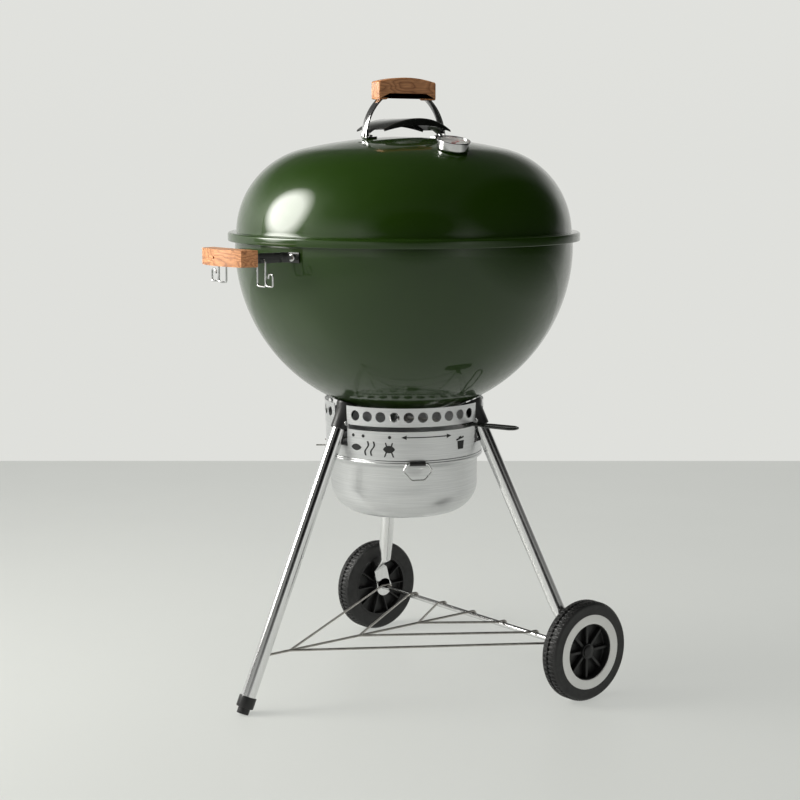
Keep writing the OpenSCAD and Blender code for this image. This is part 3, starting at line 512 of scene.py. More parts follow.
LOOKS = {
    "green_enamel": green_enamel(),
    "black_enamel": gloss_black(),
    "black_plastic": black_plastic(),
    "polished_aluminium": metal("polished_aluminium", 0.82, 0.90, 0.10, 0.19, (14, 14, 0.6), 30, 0.02),
    "brushed_aluminium": metal("brushed_aluminium", (0.66, 0.665, 0.67), (0.82, 0.825, 0.83), 0.27, 0.40,
                               (0.35, 0.35, 26), 40, 0.10),
    "steel_wire": metal("steel_wire", (0.34, 0.325, 0.30), (0.50, 0.48, 0.45), 0.26, 0.44, (1, 1, 1), 90, 0.08),
    "plated_steel": metal("plated_steel", 0.66, 0.78, 0.08, 0.20, (1, 1, 1), 70, 0.02),
    "black_print": painted("black_print", 0.008, 0.016, 0.5, 0.65),
    "wood": wood("wood_lengthwise_x", 0),
    "glass": clear_glass(),
    "dial_face": painted("dial_face", (0.80, 0.80, 0.77), (0.88, 0.88, 0.85), 0.35, 0.5),
    "pointer_red": painted("pointer_red", (0.50, 0.03, 0.02), (0.62, 0.05, 0.03), 0.3, 0.4),
    "tyre_rubber": tyre_rubber(),
    "white_plastic": white_plastic(),
}
SIDE_WOOD = wood("wood_lengthwise_y", 90)


# ---- kettle ----

def bowl():
    top = [(BOWL_R - STEEL, BEAD_Z + 0.4)]
    bead = arc(BOWL_R, BEAD_Z, BEAD_R, 155, -102, 18)
    outer = arc(0, BOWL_Z, BOWL_R, 0, -90, 64)[:-1] + [(0.002, BOWL_Z - BOWL_R)]
    inner = [(0.002, BOWL_Z - BOWL_R + STEEL)] + arc(0, BOWL_Z, BOWL_R - STEEL, -90, 0, 64)[1:]
    bm = bmesh.new()
    add_lathe(bm, top + bead + outer + inner, steps=256)
    obj = piece("bowl_shell", bm, "green_enamel", "kettle", ["bowl"])
    cutters = bmesh.new()
    for a in (0, 120, 240):
        outline = arc(42, 0, 9, 100.6, 259.4, 12) + arc(88, 0, 16, -79.4, 79.4, 18)
        add_prism(cutters, outline, BOWL_Z - BOWL_R - 10, BOWL_Z - BOWL_R + 50, turn(a + 0.7))
    add_disc(cutters, 6.05, BOWL_Z - BOWL_R - 10, BOWL_Z - BOWL_R + 20)
    cut(obj, cutters)


def lid_outline():
    tilt = math.degrees(SHOULDER_TILT)
    low_turn = math.degrees(math.asin((LID_FLOOR + STEEL - SHOULDER_Z) / SHOULDER_R))
    dome = arc(0, DOME_Z, DOME_R, 90, 90 - tilt, 26)[1:]
    shoulder = arc(SHOULDER_X, SHOULDER_Z, SHOULDER_R, 90 - tilt, low_turn, 56)[1:-1]
    flange = arc(WALL_R + 1.6, LID_FLOOR + STEEL + 1.4, 1.4, 180, 270, 5)
    lip = arc(LIP_R - 4, LID_FLOOR + STEEL - 4, 4, 90, 0, 8)
    roll = arc(LIP_R - 1.3, LIP_Z + 1.3, 1.3, 0, -180, 10)
    inside_lip = arc(LIP_R - 4, LID_FLOOR + STEEL - 4, 4 - STEEL, 0, 90, 6)
    inner_r = SHOULDER_R - STEEL
    inner_low = math.degrees(math.asin((LID_FLOOR - SHOULDER_Z) / inner_r))
    inside = arc(SHOULDER_X, SHOULDER_Z, inner_r, inner_low, 90 - tilt, 56)
    inner_dome = arc(0, DOME_Z, DOME_R - STEEL, 90 - tilt, 90, 26)[1:-1]
    return ([(0.002, LID_TOP)] + dome + shoulder + flange + lip + roll + inside_lip + inside + inner_dome
            + [(0.002, LID_TOP - STEEL)])


def lid():
    bm = bmesh.new()
    add_lathe(bm, lid_outline(), steps=256)
    obj = piece("lid_shell", bm, "green_enamel", "lid", ["lid"])
    cutters = bmesh.new()
    for a in (0, 90, 180, 270):
        add_disc(cutters, 11, -15, 15, ON_DAMPER @ turn(a + 0.7) @ shift(40, 0, 0), steps=48)
    cut(obj, cutters)


def lid_strap():
    """The two halves of the arched strap, each from its foot on the dome up into the grip."""
    bm = bmesh.new()
    for side in (-1, 1):
        foot = [(side * x, 0, DOME_Z + math.sqrt(DOME_R ** 2 - x ** 2) + 0.05 + ARCH_T / 2)
                for x in (62, 68, 74, 77.5)]
        start = math.degrees(math.asin(5.5 / ARCH_R))
        end = math.degrees(math.asin(69 / ARCH_R))
        rise = [(side * x, 0, z) for x, z in arc(0, ARCH_Z, ARCH_R, start, end, 28)]
        corner = [Vector(foot[-1]), Vector((side * (ARCH_R + 0.2), 0, foot[-1][2] - 0.3)), Vector(rise[0])]
        bend = [bezier(*corner, k / 6) for k in range(1, 6)]
        add_section(bm, foot + bend + rise, (0, 1, 0), bar_section(ARCH_W, ARCH_T, 0.7))
    piece("lid_handle_strap", bm, "polished_aluminium", "lid", ["lid_strap"])


def lid_grip():
    top, low, rise = LID_TOP + 97, LID_TOP + 60.5, 7.5
    top_r = (GRIP_HALF ** 2 + rise ** 2) / (2 * rise)
    half = math.degrees(math.asin((GRIP_HALF - 5) / top_r))
    crown = arc(0, top - top_r, top_r, 90 - half, 90 + half, 24)
    corner = 6
    edge_z = crown[0][1] - corner * 0.75
    right = [bezier(Vector((GRIP_HALF, low + 3)), Vector((GRIP_HALF, low)), Vector((GRIP_HALF - 3, low)), k / 4)
             for k in range(5)]
    shoulder = [bezier(Vector((GRIP_HALF, edge_z)), Vector((GRIP_HALF, crown[0][1])), Vector(crown[0]), k / 6)
                for k in range(7)]
    under = [(43, low), (37.5, low + 8), (30, low + 8.1), (18, low + 6.4), (0, low + 5.6)]
    right_side = [tuple(p) for p in right[::-1] + shoulder]
    left_side = [(-x, z) for x, z in right_side[::-1]]
    outline = right_side + crown[1:-1] + left_side + [(-x, z) for x, z in under] + under[-2::-1]
    bm = bmesh.new()
    add_prism(bm, outline, -11.5, 11.5, turn(90, "X"))
    piece("lid_wood_grip", bm, "wood", "lid", ["lid_grip"], 40, 2.6)


def heat_shield():
    """Arched sheet with turned-down front and back edges, and an ear at each end that the strap's screw holds."""
    top, half, drop = LID_TOP + 30.4, 70, 18
    arch_r = (half ** 2 + drop ** 2) / (2 * drop)
    edge_r, low_r, low_top = 333.8, 250, LID_TOP + 18.4
    sheet = 1.4
    bend = 3
    stations = 36

    def crown(x):
        return top - arch_r + math.sqrt(arch_r ** 2 - x ** 2)

    rings = []
    bm = bmesh.new()
    for i in range(stations + 1):
        x = half * (2 * i / stations - 1)
        side = math.sqrt(edge_r ** 2 - x ** 2) - (edge_r - 45)
        z = crown(x)
        low = min(low_top - low_r + math.sqrt(low_r ** 2 - x ** 2), z - bend - 0.4)
        outer = [(side, low)] + arc(side - bend, z - bend, bend, 0, 90, 6)
        inner = arc(side - bend, z - bend, bend - sheet, 90, 0, 6) + [(side - sheet, low)]
        section = [(-y, h) for y, h in outer] + outer[::-1] + inner[::-1] + [(-y, h) for y, h in inner]
        rings.append([bm.verts.new((x, y, h)) for y, h in section])
    skin_rings(bm, rings, False, True)
    for side in (-1, 1):
        ear = ARCH_R - 2.7 - sheet / 2
        tongue = [(side * x, 0, crown(x) - sheet / 2) for x in (66, 69, 72, 75, 77)]
        corner = [Vector(tongue[-1]), Vector((side * ear, 0, crown(ear) - sheet / 2)),
                  Vector((side * ear, 0, LID_TOP + 6))]
        down = [bezier(*corner, k / 8) for k in range(1, 9)] + [Vector((side * ear, 0, LID_TOP))]
        add_section(bm, tongue + down, (0, 1, 0), bar_section(22, sheet, 0.5))
    piece("heat_shield_sheet", bm, "black_enamel", "lid", ["heat_shield"], 40)


def lid_bolts():
    bm = bmesh.new()
    foot_z = DOME_Z + math.sqrt(DOME_R ** 2 - 71 ** 2)
    for side in (-1, 1):
        at_foot = shift(side * 71, 0, foot_z)
        add_disc(bm, 2.5, -12, 5, at_foot)
        add_disc(bm, 4.4, 3.4, 6.4, at_foot, 1.4)
        add_disc(bm, 5, -6.6, -2.6, at_foot, 0.3, 6)
        at_ear = shift(side * (ARCH_R - 0.5), 0, LID_TOP + 2.4) @ turn(90 * side, "Y")
        add_disc(bm, 2.5, -5.5, 5.5, at_ear)
        add_disc(bm, 4.6, 2.45, 4.65, at_ear, 1.0)
        add_disc(bm, 3, -7, -4, at_ear, 0.3, 6)
    piece("lid_fasteners", bm, "plated_steel", "lid", ["lid_bolts"])


def thermometer():
    bm = bmesh.new()
    rim = [(24.6, 7.9), (24.6, 14.2)] + arc(25.8, 14.8, 1.2, 180, 0, 8)
    outline = [(2.05, -6), (6, -6), (6, 0.3)] + arc(24.4, 1.8, 1.5, -90, -20, 5) + [(26, 3.4), (26, 12.6)]
    outline = outline + [(27, 13.0)] + rim[::-1] + [(2.05, 7.9)]
    add_lathe(bm, outline, ON_THERMO, 96)
    piece("thermometer_bezel", bm, "plated_steel", "lid", ["thermometer_case"], 30)

    bm = bmesh.new()
    add_lathe(bm, [(2.2, 8), (24.5, 8), (24.5, 9), (2.2, 9)], ON_THERMO, 96)
    dial = piece("thermometer_face", bm, "dial_face", "lid", ["thermometer_dial"])

    bm = bmesh.new()
    for i in range(41):
        length = 4.2 if i % 5 == 0 else 2.2
        wide = 0.45 if i % 5 == 0 else 0.22
        spoke = ON_THERMO @ turn(128 - 6.4 * i)
        add_box(bm, (21.6 - length, -wide, 8.95), (21.6, wide, 9.1), spoke)
    ticks = piece("thermometer_ticks", bm, "black_print", "lid", [])
    ticks.parent = dial

    bm = bmesh.new()
    dome = arc(0, -200, 216.2, 90, 90 - math.degrees(math.asin(24.5 / 216.2)), 8)
    shift_z = 15.0 - dome[0][1]
    add_lathe(bm, [(0.002, 13.4), (24.5, 13.4)] + [(max(x, 0.002), z + shift_z) for x, z in dome[::-1]],
              ON_THERMO, 64)
    piece("thermometer_window", bm, "glass", "lid", ["thermometer_glass"])


def lid_damper():
    """Thin disc that lies on the dome, four round holes and a turned-up finger tab."""
    bm = bmesh.new()
    low_r, thick, r = DOME_R + 0.4, 1.2, 65
    edge = math.degrees(math.asin(r / (low_r + thick)))
    outer = arc(0, -DOME_R, low_r + thick, 90, 90 - edge, 14)
    inner = arc(0, -DOME_R, low_r, 90 - edge, 90, 14)
    outline = [(0.002, outer[0][1])] + outer[1:] + inner[:-1] + [(0.002, inner[-1][1])]
    add_lathe(bm, outline, ON_DAMPER, 160)
    obj = piece("damper_disc", bm, "brushed_aluminium", "damper", [])
    cutters = bmesh.new()
    for a in (0, 90, 180, 270):
        add_disc(cutters, 11, -15, 15, ON_DAMPER @ turn(a + 0.7) @ shift(40, 0, 0), steps=48)
    cut(obj, cutters)
    tab = bmesh.new()
    path = rounded([(48, 0, -0.4), (54.7, 0, -0.9), (54.7, 0, 12.6)], 3)
    add_section(tab, path, (0, 1, 0), bar_section(14, 1.2, 0.4), ON_DAMPER)
    finger_tab = piece("damper_tab", tab, "brushed_aluminium", "damper", ["lid_damper"])
    finger_tab.parent = obj
    bm = bmesh.new()
    add_disc(bm, 3, -4.5, 3, ON_DAMPER)
    add_disc(bm, 6.5, 1.9, 4.3, ON_DAMPER, 1.6)
    add_disc(bm, 6, -4.5, -1.9, ON_DAMPER, 0.6)
    piece("damper_pivot", bm, "plated_steel", "lid", ["damper_rivet"])


# ---- side handles ----

def side_strap(place, name, node):
    half = bar_section(16, 3, 0.6)
    bm = bmesh.new()
    for s in (-1, 1):
        edge = [turn(s * FOOT_TURN) @ Vector((BOWL_R + 1.7, s * y, SIDE_Z)) for y in (13, 6, 0, -6, -9)]
        arm = [Vector((BOWL_R + 3.5, s * STRAP_Y, SIDE_Z)), Vector((SIDE_CROSS - 4, s * STRAP_Y, SIDE_Z)),
               Vector((SIDE_CROSS - 1.5, s * (STRAP_Y - 3), SIDE_Z)), Vector((SIDE_CROSS - 1.5, 0, SIDE_Z))]
        add_section(bm, rounded(edge + arm, 1.5, steps=4), (0, 0, 1), half, place)
    piece(name, bm, "black_enamel", "kettle", [node], 40)


def side_grip(place, name, node):
    """Bowed wooden grip with slanted ends and one dark screw recess in its outer face."""
    bow, bow_half = 10, GRIP_HALF - 3
    bow_r = (bow_half ** 2 + bow ** 2) / (2 * bow)
    half = math.degrees(math.asin((bow_half - 1) / bow_r))
    inner_x = SIDE_CROSS + 0.05
    front = arc(SIDE_REACH - bow_r, 0, bow_r, -half, half, 24)
    outline = [(inner_x, -GRIP_HALF - 4)] + front + [(inner_x, GRIP_HALF + 4)]
    bm = bmesh.new()
    add_prism(bm, outline, SIDE_Z - 13, SIDE_Z + 13, place)
    obj = piece(name, bm, "wood", "kettle", [node], 30, look=SIDE_WOOD)
    cutters = bmesh.new()
    recess = place @ shift(0, 8, SIDE_Z) @ turn(90, "Y")
    add_disc(cutters, 2.2, SIDE_REACH - 6, SIDE_REACH + 6, recess, 0.1)
    cut(obj, cutters)
    rounder = obj.modifiers.new("edges", "BEVEL")
    rounder.width = 2.2 * MM
    rounder.segments = 4
    rounder.limit_method = "ANGLE"
    rounder.angle_limit = math.radians(40)
    rounder.harden_normals = True


def side_bolts():
    bm = bmesh.new()
    for base in (turn(PLAIN_SIDE_ANGLE), turn(180)):
        for s in (-1, 1):
            foot = base @ turn(s * FOOT_TURN) @ shift(BOWL_R, 0, SIDE_Z) @ turn(90, "Y")
            add_disc(bm, 3, -6, 6, foot)
            add_disc(bm, 6, 3.2, 6.6, foot, 1.6)
            add_disc(bm, 5.5, -6.5, -2.5, foot, 0.4, 6)
            bar = base @ shift(SIDE_CROSS - 5.4, s * 34, SIDE_Z) @ turn(90, "Y")
            add_disc(bm, 2.5, 0, 22, bar)
            add_disc(bm, 4.5, 0, 2.3, bar, 0.9)
    piece("side_fasteners", bm, "plated_steel", "kettle", ["side_bolts"])


def tool_hooks():
    x, top = SIDE_REACH - 47, SIDE_Z - 1.5
    bm = bmesh.new()
    for s in (-1, 1):
        long_loop = [(x, s * 45, top), (x, s * 45, 700), (x, s * 67, 700), (x, s * 67, top)]
        add_wire(bm, rounded(long_loop, 5, True), 3.1, HOOKS_SIDE, True)
        short_loop = [(x, s * 66, 714), (x, s * 69.5, 701), (x, s * 87, 701), (x, s * 87, 720),
                      (x, s * 76, 720), (x, s * 75, 713)]
        add_wire(bm, rounded(short_loop, 4), 3.1, HOOKS_SIDE)
    piece("hook_wires", bm, "plated_steel", "kettle", ["tool_hooks"])


# ---- legs, rack and wheels ----

def leg_plain():
    bm = bmesh.new()
    r, bore = LEG_D / 2, LEG_D / 2 - 1.5
    outline = [(bore, 8.2), (r, 8.2), (r, PLAIN_LEG), (bore, PLAIN_LEG)]
    add_lathe(bm, outline, along_leg(*LEGS["plain"]), 64)
    piece("leg_tube_plain", bm, "polished_aluminium", "kettle", ["leg_plain"])


def wheel_leg(side, name, node):
    """Tube whose lower end is pressed flat round the axle."""
    angle, lean = side * WHEEL_LEG_ANGLE, WHEEL_LEAN
    start = along_leg(angle, lean)
    full = (LEG_TOP_Z - TYRE_R) / math.cos(math.radians(lean))
    tube = full - 70
    y0 = side * AXLE_X * math.tan(math.radians(WHEEL_LEG_ANGLE))
    blade_turn = -math.degrees(math.atan((AXLE_X - LEG_TOP_R * math.cos(math.radians(angle)))
                                         / (LEG_TOP_Z - TYRE_R)))
    blade = shift(AXLE_X, y0, TYRE_R) @ turn(blade_turn, "Y")
    sides = 48
    rings = []
    bm = bmesh.new()
    # each ring of the tube, given by its angle about the leg, is matched by the same angle about the blade
    zero = (blade.inverted() @ start).to_3x3() @ Vector((1, 0, 0))
    offset = math.atan2(zero.y, zero.x)
    rings_up = []
    for z in (8.2, tube * 0.5, tube):
        rings_up.append([start @ Vector((LEG_D / 2 * math.cos(a), LEG_D / 2 * math.sin(a), z))
                         for a in [2 * math.pi * k / sides for k in range(sides)]])
    flat = []
    for k in range(sides):
        a = offset - 2 * math.pi * k / sides
        p = Vector((15 * math.cos(a), 3 * math.sin(a)))
        flat.append(Vector((max(-15, min(15, p.x * 1.15)), max(-3, min(3, p.y * 1.8)))))
    below = [[blade @ Vector((p.x, p.y, z)) for p in flat] for z in (37, 20, 0.5)]
    blend = []
    for t in (0.2, 0.4, 0.6, 0.8):
        blend.append([a.lerp(b, t) for a, b in zip(rings_up[-1], below[0])])
    for ring in rings_up + blend + below:
        rings.append([bm.verts.new(p) for p in ring])
    skin_rings(bm, rings, False, True)
    edge = arc(16.4, -2.4, 0.6, -90, 0, 3) + arc(16.4, 2.4, 0.6, 0, 90, 3)
    outline = [(5, -3), (16.4, -3)] + edge + [(5, 3)]
    add_lathe(bm, outline, shift(AXLE_X, y0, TYRE_R) @ turn(90, "X"), 48)
    piece(name, bm, "polished_aluminium", "kettle", [node], 40)


def leg_socket(angle, lean, name, node):
    bore, r = LEG_D / 2 + 0.05, 14.5
    outline = [(0.002, 1.3), (17.2, 1.3), (18, 2.1), (18, 6), (r, 13), (r, 44.8), (r - 0.8, 46),
               (bore, 46), (bore, 8), (0.002, 8)]
    bm = bmesh.new()
    add_lathe(bm, outline, along_leg(angle, lean), 64)
    obj = piece(name, bm, "black_plastic", "kettle", [node], 30)
    cutters = bmesh.new()
    for s in (-1, 1):
        seat = along_leg(angle, lean) @ shift(0, 0, 34) @ turn(90 * s, "X")
        add_disc(cutters, 4.65, 13.4, 24, seat, 0.01, 32)
    cut(obj, cutters)


def socket_screws():
    bm = bmesh.new()
    for angle, lean in LEGS.values():
        for s in (-1, 1):
            spot = along_leg(angle, lean) @ shift(0, 0, 34) @ turn(90 * s, "X")
            add_lathe(bm, [(0.8, 14.6), (0.8, 15.5), (2.2, 15.8)] + arc(3.4, 14.7, 1.1, 80, 0, 5)
                      + [(4.5, 13.45), (0.8, 13.45)], spot, 32)
            add_disc(bm, 2.5, 0, 14.6, spot)
    piece("socket_fasteners", bm, "plated_steel", "kettle", ["socket_screws"])


def foot():
    end, cap = PLAIN_LEG + 4, 19
    bm = bmesh.new()
    outline = [(LEG_D / 2 + 0.05, end - cap)] + arc(13.7, end - cap + 0.8, 0.8, -90, 0, 4)
    outline = outline + arc(12.5, end - 2, 2, 0, 90, 6)
    outline = outline + [(0.002, end), (0.002, end - 4), (LEG_D / 2 + 0.05, end - 4)]
    add_lathe(bm, outline, along_leg(*LEGS["plain"]), 64)
    piece("foot_cap_moulded", bm, "black_plastic", "kettle", ["foot_cap"])


def axle_rod():
    bm = bmesh.new()
    half = WHEEL_IN_Y + TYRE_W - 4
    add_disc(bm, AXLE_D / 2, -half, half, shift(AXLE_X, 0, TYRE_R) @ turn(90, "X"), 0.8, 48)
    piece("axle_rod", bm, "plated_steel", "kettle", ["axle"])


def wire_rack():
    d = 4
    z = TYRE_R + AXLE_D / 2 + d / 2
    hook_r = AXLE_D / 2 + d / 2 + 0.05

    def hook(y):
        return [(x, y, h) for x, h in arc(AXLE_X, TYRE_R, hook_r, 90, -55, 14)]

    bm = bmesh.new()
    add_wire(bm, [(-290, 0, z), (-60, 0, z), (100, 0, z)] + hook(0), d)
    for start, reach in ((-248, 247), (-105, 165), (24, 82.5)):
        for s in (-1, 1):
            arm = rounded([(start - 4, 0, z), (start + 8, 0, z), (AXLE_X - 14, s * reach, z),
                           (AXLE_X - 6, s * reach, z), (AXLE_X - 1, s * reach, z)], 3.5)
            add_wire(bm, arm + hook(s * reach), d)
    piece("rack_wires", bm, "steel_wire", "kettle", ["wire_rack"])


def tyre(side, name, node, body):
    """Carcass with a middle groove, and two rows of tread blocks round it."""
    base_r, lugs, groove = TYRE_R - 2.4, 66, 1.4
    middle = TYRE_W / 2
    wall = [(HUB_R + 0.05, 1)] + [(70, 0.6), (76, 0.1)] + arc(base_r - 4.5, 4.6, 4.5, -90, -10, 8)
    groove_side = [(base_r, 6), (base_r, middle - groove), (base_r - 1.6, middle - groove + 0.3)]
    inner = wall + groove_side
    outer = [(r, TYRE_W - z) for r, z in groove_side[::-1] + wall[:0:-1]]
    outer = [p for p in outer if p[0] > RING_OUT_R + 1]
    outline = inner + outer + [(RING_OUT_R + 0.6, TYRE_W - 0.1), (RING_OUT_R + 0.05, TYRE_W - 0.6),
                               (RING_OUT_R + 0.05, TYRE_W - 2), (HUB_R + 0.05, TYRE_W - 2)]
    bm = bmesh.new()
    place = at_wheel(side)
    add_lathe(bm, outline, place, 132)
    pitch = 2 * math.pi / lugs
    for row in (0, 1):
        for i in range(lugs):
            low, high = (2.6, middle - groove) if row == 0 else (middle + groove, TYRE_W - 2.6)
            corners = []
            # from the root to the top, a block gets narrower: radius, half width and inset
            levels = ((base_r - 1, 0.40, 0), (TYRE_R - 0.25, 0.32, 0.5), (TYRE_R - 0.02, 0.27, 0.9))
            for r, wide, inset in levels:
                ring = []
                drop = 2.2 if r > base_r else 2.8
                edges = [(low + inset, drop), (low + inset + 3.2, 0), (high - inset, 0)]
                if row:
                    edges = [(low + inset, 0), (high - inset - 3.2, 0), (high - inset, drop)]
                section = [(z, -1, fall) for z, fall in edges] + [(z, 1, fall) for z, fall in edges[::-1]]
                for z, way, fall in section:
                    a = (i + row * 0.5) * pitch + way * wide * pitch
                    at = Vector(((r - fall) * math.cos(a), (r - fall) * math.sin(a), z))
                    ring.append(bm.verts.new(place @ at))
                corners.append(ring)
            skin_rings(bm, corners, False, True)
    piece(name, bm, "tyre_rubber", body, [node], 34)


def white_ring(side, name, node, body):
    bm = bmesh.new()
    low = TYRE_W - 1.95
    outline = [(RING_IN_R, low), (RING_OUT_R, low)] + arc(RING_OUT_R - 0.5, TYRE_W - 0.5, 0.5, 0, 90, 3)
    outline = outline + arc(RING_IN_R + 0.8, TYRE_W - 0.8, 0.8, 90, 180, 4)
    add_lathe(bm, outline, at_wheel(side), 128)
    piece(name, bm, "white_plastic", body, [node])


def wheel_hub(side, name, node, body):
    web, top = 13, TYRE_W - 2.1
    place = at_wheel(side)
    bm = bmesh.new()
    barrel = [(HUB_R - 4, 1)] + arc(HUB_R - 0.8, 1.8, 0.8, -90, 0, 3)
    barrel = barrel + [(HUB_R, top), (46.5, top), (46, top - 0.5)]
    barrel = barrel + [(46, web + 3.5), (45, web + 2.6), (13, web + 2.6), (13, web), (53, web), (54, web - 1)]
    add_lathe(bm, barrel, place, 96)
    boss = [(AXLE_D / 2 + 0.05, 0)] + arc(12, 1, 1, -90, 0, 3)
    boss = boss + [(13, TYRE_W - 6)] + arc(12, TYRE_W - 6, 1, 0, 90, 3)
    boss = boss + [(10.5, TYRE_W - 5), (10.5, TYRE_W - 9)]
    add_lathe(bm, boss + [(AXLE_D / 2 + 0.05, TYRE_W - 9)], place, 48)
    for i in range(8):
        rib = bar_section(5, 9.5, 1)
        outline = [(12, 0), (46.4, 0)]
        add_section(bm, [(x, y, web + 6.2) for x, y in outline], (0, 1, 0), rib, place @ turn(45 * i))
    for i in range(10):
        rib = bar_section(2.4, 11, 0.5)
        add_section(bm, [(12, 0, 7.5), (54.4, 0, 7.5)], (0, 1, 0), rib, place @ turn(36 * i))
    piece(name, bm, "black_plastic", body, [node], 30)


def wheel_cap(side, name, node, body):
    place = at_wheel(side)
    bm = bmesh.new()
    base = TYRE_W - 9 + 0.02
    dome = arc(0, TYRE_W - 20.1, 20, 58, 90, 12)
    outline = [(0.002, base + 6.9), (5.1, base + 6.9), (5.1, base), (10.45, base), (10.45, dome[0][1] - 0.3)]
    add_lathe(bm, outline + dome[:-1] + [(0.002, dome[-1][1])], place, 64)
    piece(name, bm, "black_plastic", body, [node], 30)


# ---- ash catcher ----

def ash_bucket():
    r, low, corner, wall = 125, 299, 52, 1.2
    outer = [(0.002, low)] + arc(r - corner, low + corner, corner, -90, 0, 28)
    flare = [(r, 391), (r + 1.2, 393), (131, 396.2), (132, 397.2), (132.6, 398.2)]
    bead = arc(132, 400, 2, -60, 60, 8)
    lip = [(133.2, 402.4), (133.2, 404.2), (132.9, 404.6), (132, 404.6), (132, 397.6), (131, 397),
           (124.6, 392.4)]
    inner = [(r - wall, 390)] + arc(r - corner, low + corner, corner - wall, 0, -90, 28)
    inner = inner + [(0.002, low + wall)]
    bm = bmesh.new()
    add_lathe(bm, outer + flare + bead + lip + inner, steps=160)
    piece("bucket_spun", bm, "brushed_aluminium", "bucket", ["ash_bucket"], 40)


def bucket_bail():
    r, z = BAIL_R, BAIL_Z
    loop = rounded([(r, 10, z), (r, 17, z), (r + 1, 24, z - 12), (r + 2, 11, z - 27), (r + 2, -11, z - 27),
                    (r + 1, -24, z - 12), (r, -17, z), (r, -10, z)], 3.2)
    bm = bmesh.new()
    add_wire(bm, loop, 3, turn(BAIL_ANGLE))
    piece("bail_wire", bm, "plated_steel", "bail", ["bucket_bail"])


def lever_handle():
    z = SLOT_Z
    loop = rounded([(119, 4, z), (150, 4, z), (166, 11, z), (212, 12, z), (219.9, 6, z),
                    (219.9, -6, z), (212, -12, z), (166, -11, z), (150, -4, z), (119, -4, z)], 3.4)
    bm = bmesh.new()
    add_wire(bm, loop, 4.5, turn(LEVER_ANGLE))
    piece("lever_wire", bm, "black_enamel", "cleaning_system", ["lever_handle"])


def grates():
    bar, rod, step = 6, 5, 20
    flap_x, flap_bar = 150, 157

    def chord(r, y):
        return math.sqrt(r * r - y * y)

    def rim(bm, r, start, end):
        points = [(x, y, GRATE_Z) for x, y in arc(0, 0, r, start, end, 40)]
        add_wire(bm, points, bar)

    bm = bmesh.new()
    end = math.degrees(math.acos((flap_x - 2) / GRATE_R))
    for base in (0, 180):
        rim(bm, GRATE_R, base + end, base + 180 - end)
    for x in (-flap_x, -50, 50, flap_x):
        add_rod(bm, (x, -chord(GRATE_R, x), GRATE_Z), (x, chord(GRATE_R, x), GRATE_Z), bar)
    for y in range(-240, 241, step):
        half = min(flap_x, chord(GRATE_R, y))
        add_rod(bm, (-half, y, GRATE_Z + 0.6), (half, y, GRATE_Z + 0.6), rod)
    piece("grate_wires", bm, "plated_steel", "cooking_grate", ["cooking_grate"])
    for way, name, body, node in ((1, "front_flap_wires", "flap_front", "grate_flap_front"),
                                  (-1, "back_flap_wires", "flap_back", "grate_flap_back")):
        bm = bmesh.new()
        spread = math.degrees(math.acos(flap_bar / GRATE_R))
        middle = 0 if way == 1 else 180
        rim(bm, GRATE_R, middle - spread, middle + spread)
        half = chord(GRATE_R, flap_bar)
        add_rod(bm, (way * flap_bar, -half, GRATE_Z), (way * flap_bar, half, GRATE_Z), bar)
        for y in range(-200, 201, step):
            near, far = way * flap_bar, way * chord(GRATE_R, y)
            add_rod(bm, (near, y, GRATE_Z + 0.6), (far, y, GRATE_Z + 0.6), rod)
        for y in (-50, 50):
            eye = [(way * flap_x + p[0], y, GRATE_Z + p[1]) for p in arc(0, 0, 4.9, 0, 345, 23)]
            add_wire(bm, eye, 3, closed=True)
        piece(name, bm, "plated_steel", body, [node])
    bm = bmesh.new()
    add_wire(bm, [(x, y, COAL_Z) for x, y in arc(0, 0, COAL_R, 0, 355, 71)], bar, closed=True)
    for x in (-90, 90):
        add_rod(bm, (x, -chord(COAL_R, x), COAL_Z), (x, chord(COAL_R, x), COAL_Z), bar)
    for y in range(-192, 193, 24):
        half = chord(COAL_R, y)
        add_rod(bm, (-half, y, COAL_Z + 0.6), (half, y, COAL_Z + 0.6), rod)
    piece("coal_grate_wires", bm, "steel_wire", "charcoal_grate", ["charcoal_grate"])


def carried_over():
    """The CAD nodes that stay in view take the material of their own slot."""
    slots = {row["node"]: row["material_slot"] for row in frame["record"]["subparts"]}
    for name, obj in frame["nodes"].items():
        obj.data.materials.clear()
        obj.data.materials.append(LOOKS[slots[name]])


# ---- studio ----

CAMERA_AT = (-1.8262, -2.3065, 0.911)
CAMERA_TURN = -38.37
CAMERA_PITCH = -8.2
CAMERA_LENS = 78.47
CAMERA_SHIFT = -0.0049
RIGHT = Vector((0.784, -0.621, 0))
AWAY = Vector((0.621, 0.784, 0))
WALL_BEHIND = 2.12


def camera():
    data = bpy.data.cameras.new("camera")
    data.lens = CAMERA_LENS
    data.shift_x = CAMERA_SHIFT
    data.clip_end = 60
    obj = bpy.data.objects.new("camera", data)
    obj.location = CAMERA_AT
    obj.rotation_euler = (math.radians(90 + CAMERA_PITCH), 0, math.radians(CAMERA_TURN))
    bpy.context.scene.collection.objects.link(obj)
    bpy.context.scene.camera = obj


def flat_look(name, color, rough, glow=0):
    look = Look(name)
    shade = look.ramp(look.noise(1.5, 3), (0.3, tuple(c * 0.985 for c in color)), (0.7, color))
    look.set("Base Color", shade)
    look.set("Roughness", look.spread(look.noise(3, 2), rough, rough + 0.05))
    look.bump(look.noise(180, 3), 0.02, 0.0005)
    if glow:
        look.set("Emission Color", shade)
        look.shader.inputs["Emission Strength"].default_value = glow
    return look.material


